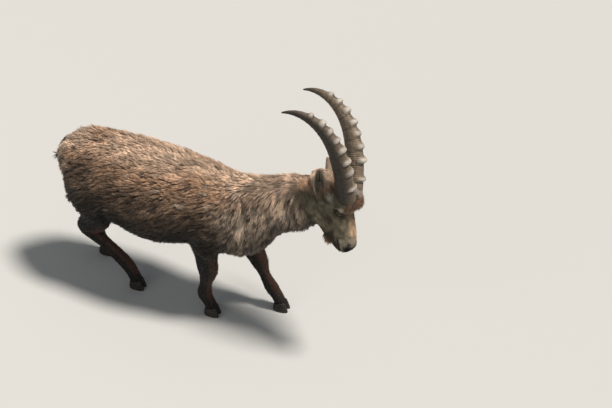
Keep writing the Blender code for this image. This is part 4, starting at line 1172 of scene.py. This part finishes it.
def growEars():
    # Pale hairs fringe and fill the cup of each ear, short ones cover its back
    draw = np.random.default_rng(135)
    rows = []
    for side in ("left", "right"):
        root, aim, facing, across = earAxes(side)
        for kind, (count, until, length, lift, lean, colour, share) in earHair.items():
            t = draw.uniform(0.06, until, count)
            wide, deep, thick, filled = earShape(t)
            arc = {"rim": np.sign(draw.uniform(-1, 1, count)) * draw.uniform(0.93, 1.0, count),
                   "inner": draw.uniform(-0.85, 0.85, count), "back": draw.uniform(-0.95, 0.95, count)}[kind]
            height = -deep * (1 - arc**2) - ears["bow"] * t**2
            if kind == "inner":
                height = height + thick + filled * deep * (1.15 - arc**2)
            spot = root + np.outer(t * ears["length"], aim) + np.outer(wide * arc, across)
            spot = spot + np.outer(height, facing)
            up = -facing if kind == "back" else facing
            normal = up + np.outer(arc * (-0.9 if kind == "inner" else 0.9), across)
            lie = aim + np.outer(lean * arc, across)
            tint = np.tile(palette[colour] * share, (count, 1))
            rows.append((spot, normal, lie, np.full(count, length), np.full(count, lift), tint))
    spot, normal, lie, length, lift, tips = (np.concatenate(column) for column in zip(*rows))
    piece = lockRow("coat_ears", spot, unit(normal), lie, length, 0.0009, lift, tips, 0.45, 136, hug=3.0)


growForelock()
growBeard()
growEars()
dressSkin()


# Horns

horn = {"length": {"left": 0.551, "right": 0.530}, "splay": {"left": (9.7, 4.0), "right": (17.4, 6.4)},
        "turn": 105.5, "start": 173.9, "curl": 2.13, "base": (0.045, 0.032, 0.1145), "depth": 0.0400,
        "width": 0.0296, "knobs": 8, "knobHeight": 0.0140, "knobWidth": 0.0108, "first": 0.136, "last": 0.770,
        "spacing": 0.82, "taper": 2.39, "rings": 620, "around": 56, "furrow": 0.0007,
        # strengths of the ripples: slanting waves, grooves along the horn, rings round it
        "waves": 0.00022, "grooves": 0.0003, "growth": 0.0005,
        # how uneven the knobs are in place, breadth and height
        "uneven": (0.009, 0.22, 0.24)}


def buildHorn(side):
    # Ellipses on an arc that turns faster towards the tip. Broad knobs swell on the front, yearly
    # furrows ring the sides and fine grooves run along the horn.
    t = np.linspace(0, 1, horn["rings"])
    heading = np.radians(horn["start"] + horn["turn"] * t ** horn["curl"])
    splay = np.radians(np.interp(t, (0, 1), horn["splay"][side]))
    out = 1 if side == "left" else -1
    path = columns(np.cos(heading) * np.cos(splay), out * np.sin(splay), np.sin(heading) * np.cos(splay))
    length = horn["length"][side]
    step = length / (horn["rings"] - 1)
    centres = np.cumsum(path * step, axis=0) - path[0] * step + np.array(horn["base"]) * (1, out, 1)
    front = columns(np.sin(heading), 0, -np.cos(heading))
    across = np.cross(path, front)
    size = 1 - 0.93 * t ** horn["taper"]
    angle = np.linspace(0, 2 * np.pi, horn["around"], endpoint=False)
    along, ahead = t[:, None], np.cos(angle)
    uneven = np.random.default_rng(60 + out).uniform(-1, 1, (3, horn["knobs"]))
    placeChange, breadthChange, heightChange = horn["uneven"]
    places = np.linspace(0, 1, horn["knobs"]) ** horn["spacing"]
    places = horn["first"] + (horn["last"] - horn["first"]) * places + placeChange * uneven[0]
    gaps = (along - places) * length / (horn["knobWidth"] * (1 + breadthChange * uneven[1]))
    gaps = gaps * np.where(gaps > 0, 0.85, 1.20)
    bumps = (np.exp(-np.abs(gaps) ** 2.8) * (1 + heightChange * uneven[2])).sum(axis=1)
    furrows = hump(gaps, -1.7, 0.35).sum(axis=1)
    facing = 0.95 * ramp(ahead, 0.36, 0.90) + 0.05 * ramp(ahead, -0.9, 0.3)
    knob = (bumps * horn["knobHeight"] * (0.40 + 0.60 * size))[:, None] * facing
    rough = np.random.default_rng(61).normal(size=(9, 3))
    wave = sum(horn["waves"] * np.sin(
        row[0] * 3 + angle * (3 + 5 * k) + along * (40 + 90 * abs(row[1])) * (1 + k))
               for k, row in enumerate(rough))
    wave = wave + horn["grooves"] * np.sin(angle * 26)
    wave = wave + horn["growth"] * np.sin(along * 470 + 0.8) * (1 - facing)
    wave = wave - (horn["furrow"] * furrows)[:, None] * (0.5 + 0.5 * facing)
    wave = wave * np.clip(size * 3, 0, 1)[:, None]
    deep = (horn["depth"] * size[:, None] + knob + wave) * ahead
    wide = (horn["width"] * size[:, None] + 0.3 * knob + wave) * np.sin(angle) * (1 + 0.22 * ahead)
    rings = centres[:, None] + front[:, None] * deep[..., None] + across[:, None] * wide[..., None]
    loops, sizes = gridCorners(horn["rings"], horn["around"])
    piece = meshPiece("horn_sheath_" + side, withPoles(fromHead(rings)), loops, sizes)
    outward(piece)
    # inner carries painted light and shade: lowest on the outer side, highest on the inner side and front
    inner = 0.5 - 0.5 * out * np.sign(across[0, 1]) * np.sin(angle)
    inner = inner * 0.6 + 0.4 * ramp(ahead, -0.4, 0.9)
    turned = np.abs(angle - np.pi) / np.pi * 0.12
    knobs, furrows, inner, turned, along = (
        np.append(grid.reshape(-1), (grid[0].mean(), grid[-1].mean()))
        for grid in np.broadcast_arrays(bumps[:, None] * facing, furrows[:, None], inner, turned, along))
    for name, values in (("knob", knobs), ("furrow", furrows), ("inner", inner), ("along", along)):
        giveValue(piece.data, name, values)
    giveMap(piece.data, "Grain", columns(turned, along * length))
    piece.data.materials.append(hornFinish)
    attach(piece, "root")
    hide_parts("horn_" + side)


def hornMaterial():
    # Grey-brown horn with pale worn knobs, dark furrows and grain along its length. The outer side is
    # darkened as painted shade and the inner side and front lightened as painted light.
    finish = Finish("horn_keratin", Specular_IOR_Level=0.4)
    knob, furrow, along, inner = (finish.attribute(name, "Fac")
                                  for name in ("knob", "furrow", "along", "inner"))
    grain = finish.noise(finish.mapPlace("Grain", (420, 26, 1)), 1.0, 4.0, 0.6)
    rings = finish.noise(finish.mapPlace("Grain", (8, 480, 1)), 1.0, 3.0, 0.55)
    blotch = finish.noise(finish.objectPlace(), 34.0, 3.0, 0.6)
    base = finish.strip(grain * 0.55 + rings * 0.25 + blotch * 0.25, (0.30, (0.022, 0.016, 0.011)),
                        (0.50, (0.084, 0.063, 0.043)), (0.70, (0.210, 0.162, 0.112)))
    # painted shade on the horn's outer side and painted light on its inner side and front
    base = finish.scaled(base, finish.range(inner, 0.15, 0.85, 0.27, 1.75))
    worn = finish.range(knob * (blotch + 0.45), 0.22, 1.0, 0.0, 0.88)
    worn = finish.mix(worn, base, (0.50, 0.45, 0.395, 1))
    dark = finish.mix(finish.range(furrow, 0.2, 1.0, 0.0, 0.55), worn, (0.022, 0.016, 0.011, 1))
    tip = finish.mix(finish.range(along, 0.74, 0.98, 0.0, 0.75), dark, (0.036, 0.027, 0.020, 1))
    height = grain * 0.7 + rings * 0.5
    return finish.feed(Base_Color=tip, Roughness=finish.range(grain + blotch * 0.4, 0.4, 1.0, 0.42, 0.70),
                       Normal=finish.bump(height, 0.7, 0.0012))


hornFinish = hornMaterial()
for sideName in ("left", "right"):
    buildHorn(sideName)
print("horns done")


# Eyes

def buildEye(side):
    # A ball with a raised cornea; the map gives the place on the iris seen along the eye's axis
    mirror = np.array([1, 1 if side == "left" else -1, 1])
    count, around = 64, 96
    turn = np.linspace(0, np.pi, count + 2)[1:-1]
    angle = np.linspace(0, 2 * np.pi, around, endpoint=False)
    radius = eye["radius"] * (1 + 0.045 * np.exp(-(turn / 0.42) ** 4))
    wide = (np.sin(turn) * radius)[:, None]
    rings = columns(wide * np.cos(angle), (np.cos(turn) * radius)[:, None], wide * np.sin(angle)) * mirror
    loops, sizes = gridCorners(count, around)
    points = fromHead(withPoles(rings + np.array(eye["spot"]) * mirror))
    piece = meshPiece("eyeball_" + side, points, loops, sizes)
    outward(piece)
    middle = fromHead(np.array([eye["spot"]]) * mirror)[0]
    axis = headTurn[:3, 1] * mirror[1]
    level = unit(np.cross(axis, np.array([0.0, 0.0, 1.0])))
    high = np.cross(level, axis)
    offset = (points - middle) / eye["radius"]
    # the back of the ball lies outside the iris on the map
    flat = np.where((offset @ axis > 0)[:, None], columns(offset @ level, offset @ high), 3.0)
    giveMap(piece.data, "Iris", flat)
    piece.data.materials.append(eyeFinish)
    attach(piece, "root")
    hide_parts("eye_" + side)


def eyeMaterial():
    # Amber iris with fine rays, a level bar of a pupil, a dark rim and a wet shine
    finish = Finish("eye_wet", Specular_IOR_Level=0.3, Coat_Roughness=0.04, Roughness=0.25, Coat_Weight=0.30)
    place = finish.node("ShaderNodeUVMap", {"uv_map": "Iris"})
    u, v = (finish.node("ShaderNodeSeparateXYZ", None, {0: place}, axis) for axis in range(2))
    away = (u * u + v * v) ** 0.5
    bar = ((u * 2.6) ** 4.0 + (v * 6.5) ** 4.0) ** 0.25
    rays = finish.noise(place, 14.0, 4.0, 0.7)
    iris = finish.strip(rays, (0.25, (0.030, 0.014, 0.004)), (0.50, (0.160, 0.080, 0.018)),
                        (0.75, (0.36, 0.215, 0.055)))
    rim = finish.mix(finish.range(away, 0.50, 0.66), iris, (0.010, 0.006, 0.004, 1))
    white = finish.mix(finish.range(away, 0.72, 0.84), rim, (0.045, 0.025, 0.016, 1))
    pupil = finish.mix(finish.range(bar, 1.12, 0.92), white, (0.002, 0.002, 0.003, 1))
    return finish.feed(Base_Color=pupil)


eyeFinish = eyeMaterial()
for sideName in ("left", "right"):
    buildEye(sideName)
print("eyes done")


# Hooves

hoof = {"height": 0.040, "slope": 0.28, "length": 0.033, "width": 0.0140, "spacing": 0.0150,
        "overhang": 0.010, "count": 34, "around": 48, "top": 0.045,
        # share of the height, of the length and of the width
        "rings": ((0.0, 0.96, 0.95), (0.15, 1.0, 1.0), (0.6, 0.86, 0.97), (1.0, 0.72, 0.90)),
        "feet": {"foreleg_right": (0.004, -0.070), "foreleg_left": (0.262, 0.085),
                 "hindleg_right": (-0.350, -0.050), "hindleg_left": (-0.556, 0.100)}}


def buildHoof(foot, side):
    # Rings rise from the flat sole to a sloping top; growth rings ripple the wall
    sign = 1 if side == "left" else -1
    x0, y0 = hoof["feet"][foot]
    rise, length, width = smoothRows(hoof["rings"], hoof["count"]).T[..., None]
    angle = np.linspace(0, 2 * np.pi, hoof["around"], endpoint=False)
    ripple = 1 + 0.010 * np.sin(rise * 46) * ramp(rise, 0.05, 0.2)
    x = hoof["length"] * (length * ripple) * np.cos(angle) - hoof["overhang"] * rise + hoof["overhang"] * 0.5
    y = hoof["width"] * (width * ripple) * np.sin(angle) * (1 - 0.15 * np.cos(angle))
    z = rise * (hoof["height"] + hoof["slope"] * x)
    points = withPoles(columns(x + x0, y + y0 + sign * hoof["spacing"], z))
    loops, sizes = gridCorners(hoof["count"], hoof["around"])
    piece = meshPiece(f"claw_{foot}_{side}", points, loops, sizes)
    outward(piece)
    giveValue(piece.data, "rise", points[:, 2] / hoof["top"])
    piece.data.materials.append(hoofFinish)
    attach(piece, "root")
    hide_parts(f"hoof_{foot}_{side}")


def hoofMaterial():
    # Dull black-brown horn with level growth bands, worn and dusty near the ground
    finish = Finish("hoof_horn", Specular_IOR_Level=0.35)
    rise = finish.attribute("rise", "Fac")
    bands = finish.noise(finish.objectPlace((30, 30, 420)), 1.0, 3.0, 0.6)
    grit = finish.noise(finish.objectPlace(), 220.0, 3.0, 0.7)
    base = finish.strip(bands * 0.6 + grit * 0.4, (0.30, (0.010, 0.008, 0.007)),
                        (0.55, (0.030, 0.024, 0.019)), (0.80, (0.070, 0.056, 0.043)))
    dust = finish.mix(finish.range(grit - rise * 0.6, 0.34, 0.70, 0.0, 0.4), base, (0.12, 0.095, 0.070, 1))
    return finish.feed(Base_Color=dust, Roughness=finish.range(grit, 0.3, 0.7, 0.45, 0.75),
                       Normal=finish.bump(bands + grit * 0.4, 0.6, 0.0008))


hoofFinish = hoofMaterial()
for footName in hoof["feet"]:
    for sideName in ("left", "right"):
        buildHoof(footName, sideName)
print("hooves done")


# Floor, lights and camera

studio = {"floor": (0.48, 0.475, 0.46, 1.0), "floorHalf": 14,
          "world": (0.60, 0.64, 0.68, 1.0), "worldStrength": 0.40,
          # where each light shines from and to, its strength and colour
          "lamp": ((-2.6, -4.6, 3.4), (0.0, 0.0, 0.5), 45.0, (1.0, 0.97, 0.93)), "lampSize": 4.0,
          "sun": ((0.95, 0.25, 3.2), (0.0, 0.0, 0.0), 4.4, (1.0, 0.95, 0.88)), "sunSpread": 12.0}
view = {"azimuth": 15.0, "elevation": 40.0, "roll": 7.0, "target": (0.3327, 0.3619, 0.3577), "distance": 10.0,
        "metresPerPixel": 0.0043, "width": 612, "sensor": 36.0}


def addLight(name, kind):
    place, target, strength, colour = studio[name]
    light = bpy.data.lights.new(name, kind)
    light.energy, light.color = strength, colour
    lamp = bpy.data.objects.new(name, light)
    lamp.location = place
    lamp.rotation_euler = (Vector(target) - Vector(place)).to_track_quat("-Z", "Y").to_euler()
    bpy.context.scene.collection.objects.link(lamp)
    return light


def buildStage():
    half = studio["floorHalf"]
    corners = [(-half, -half, 0), (half, -half, 0), (half, half, 0), (-half, half, 0)]
    floor = meshPiece("floor", corners, [0, 1, 2, 3], [4], shift=False)
    finish = Finish("floor_plain", Roughness=0.8, Specular_IOR_Level=0.2, Base_Color=studio["floor"])
    floor.data.materials.append(finish.material)
    world = bpy.data.worlds.new("studio")
    bpy.context.scene.world = world
    world.use_nodes = True
    world.node_tree.nodes["Background"].inputs["Color"].default_value = studio["world"]
    world.node_tree.nodes["Background"].inputs["Strength"].default_value = studio["worldStrength"]
    lamp = addLight("lamp", "AREA")
    lamp.shape, lamp.size = "DISK", studio["lampSize"]
    addLight("sun", "SUN").angle = math.radians(studio["sunSpread"])


def buildCamera():
    # Looks down at the animal from its right, with a roll that was worked out
    turn, rise, roll = (math.radians(view[key]) for key in ("azimuth", "elevation", "roll"))
    back = Vector((math.sin(turn) * math.cos(rise), -math.cos(turn) * math.cos(rise), math.sin(rise)))
    right = Vector((math.cos(turn), math.sin(turn), 0.0))
    up = back.cross(right)
    level = right * math.cos(roll) + up * math.sin(roll)
    upright = up * math.cos(roll) - right * math.sin(roll)
    turnMatrix = Matrix((level, upright, back)).transposed().to_4x4()
    turnMatrix.translation = Vector(view["target"]) + back * view["distance"]
    lens = bpy.data.cameras.new("camera")
    lens.sensor_width = view["sensor"]
    lens.lens = view["sensor"] * view["distance"] / (view["width"] * view["metresPerPixel"])
    camera = bpy.data.objects.new("camera", lens)
    camera.matrix_world = turnMatrix
    bpy.context.scene.collection.objects.link(camera)
    bpy.context.scene.camera = camera


buildStage()
buildCamera()
bpy.context.scene.view_settings.view_transform = "Standard"
print("stage and camera done")
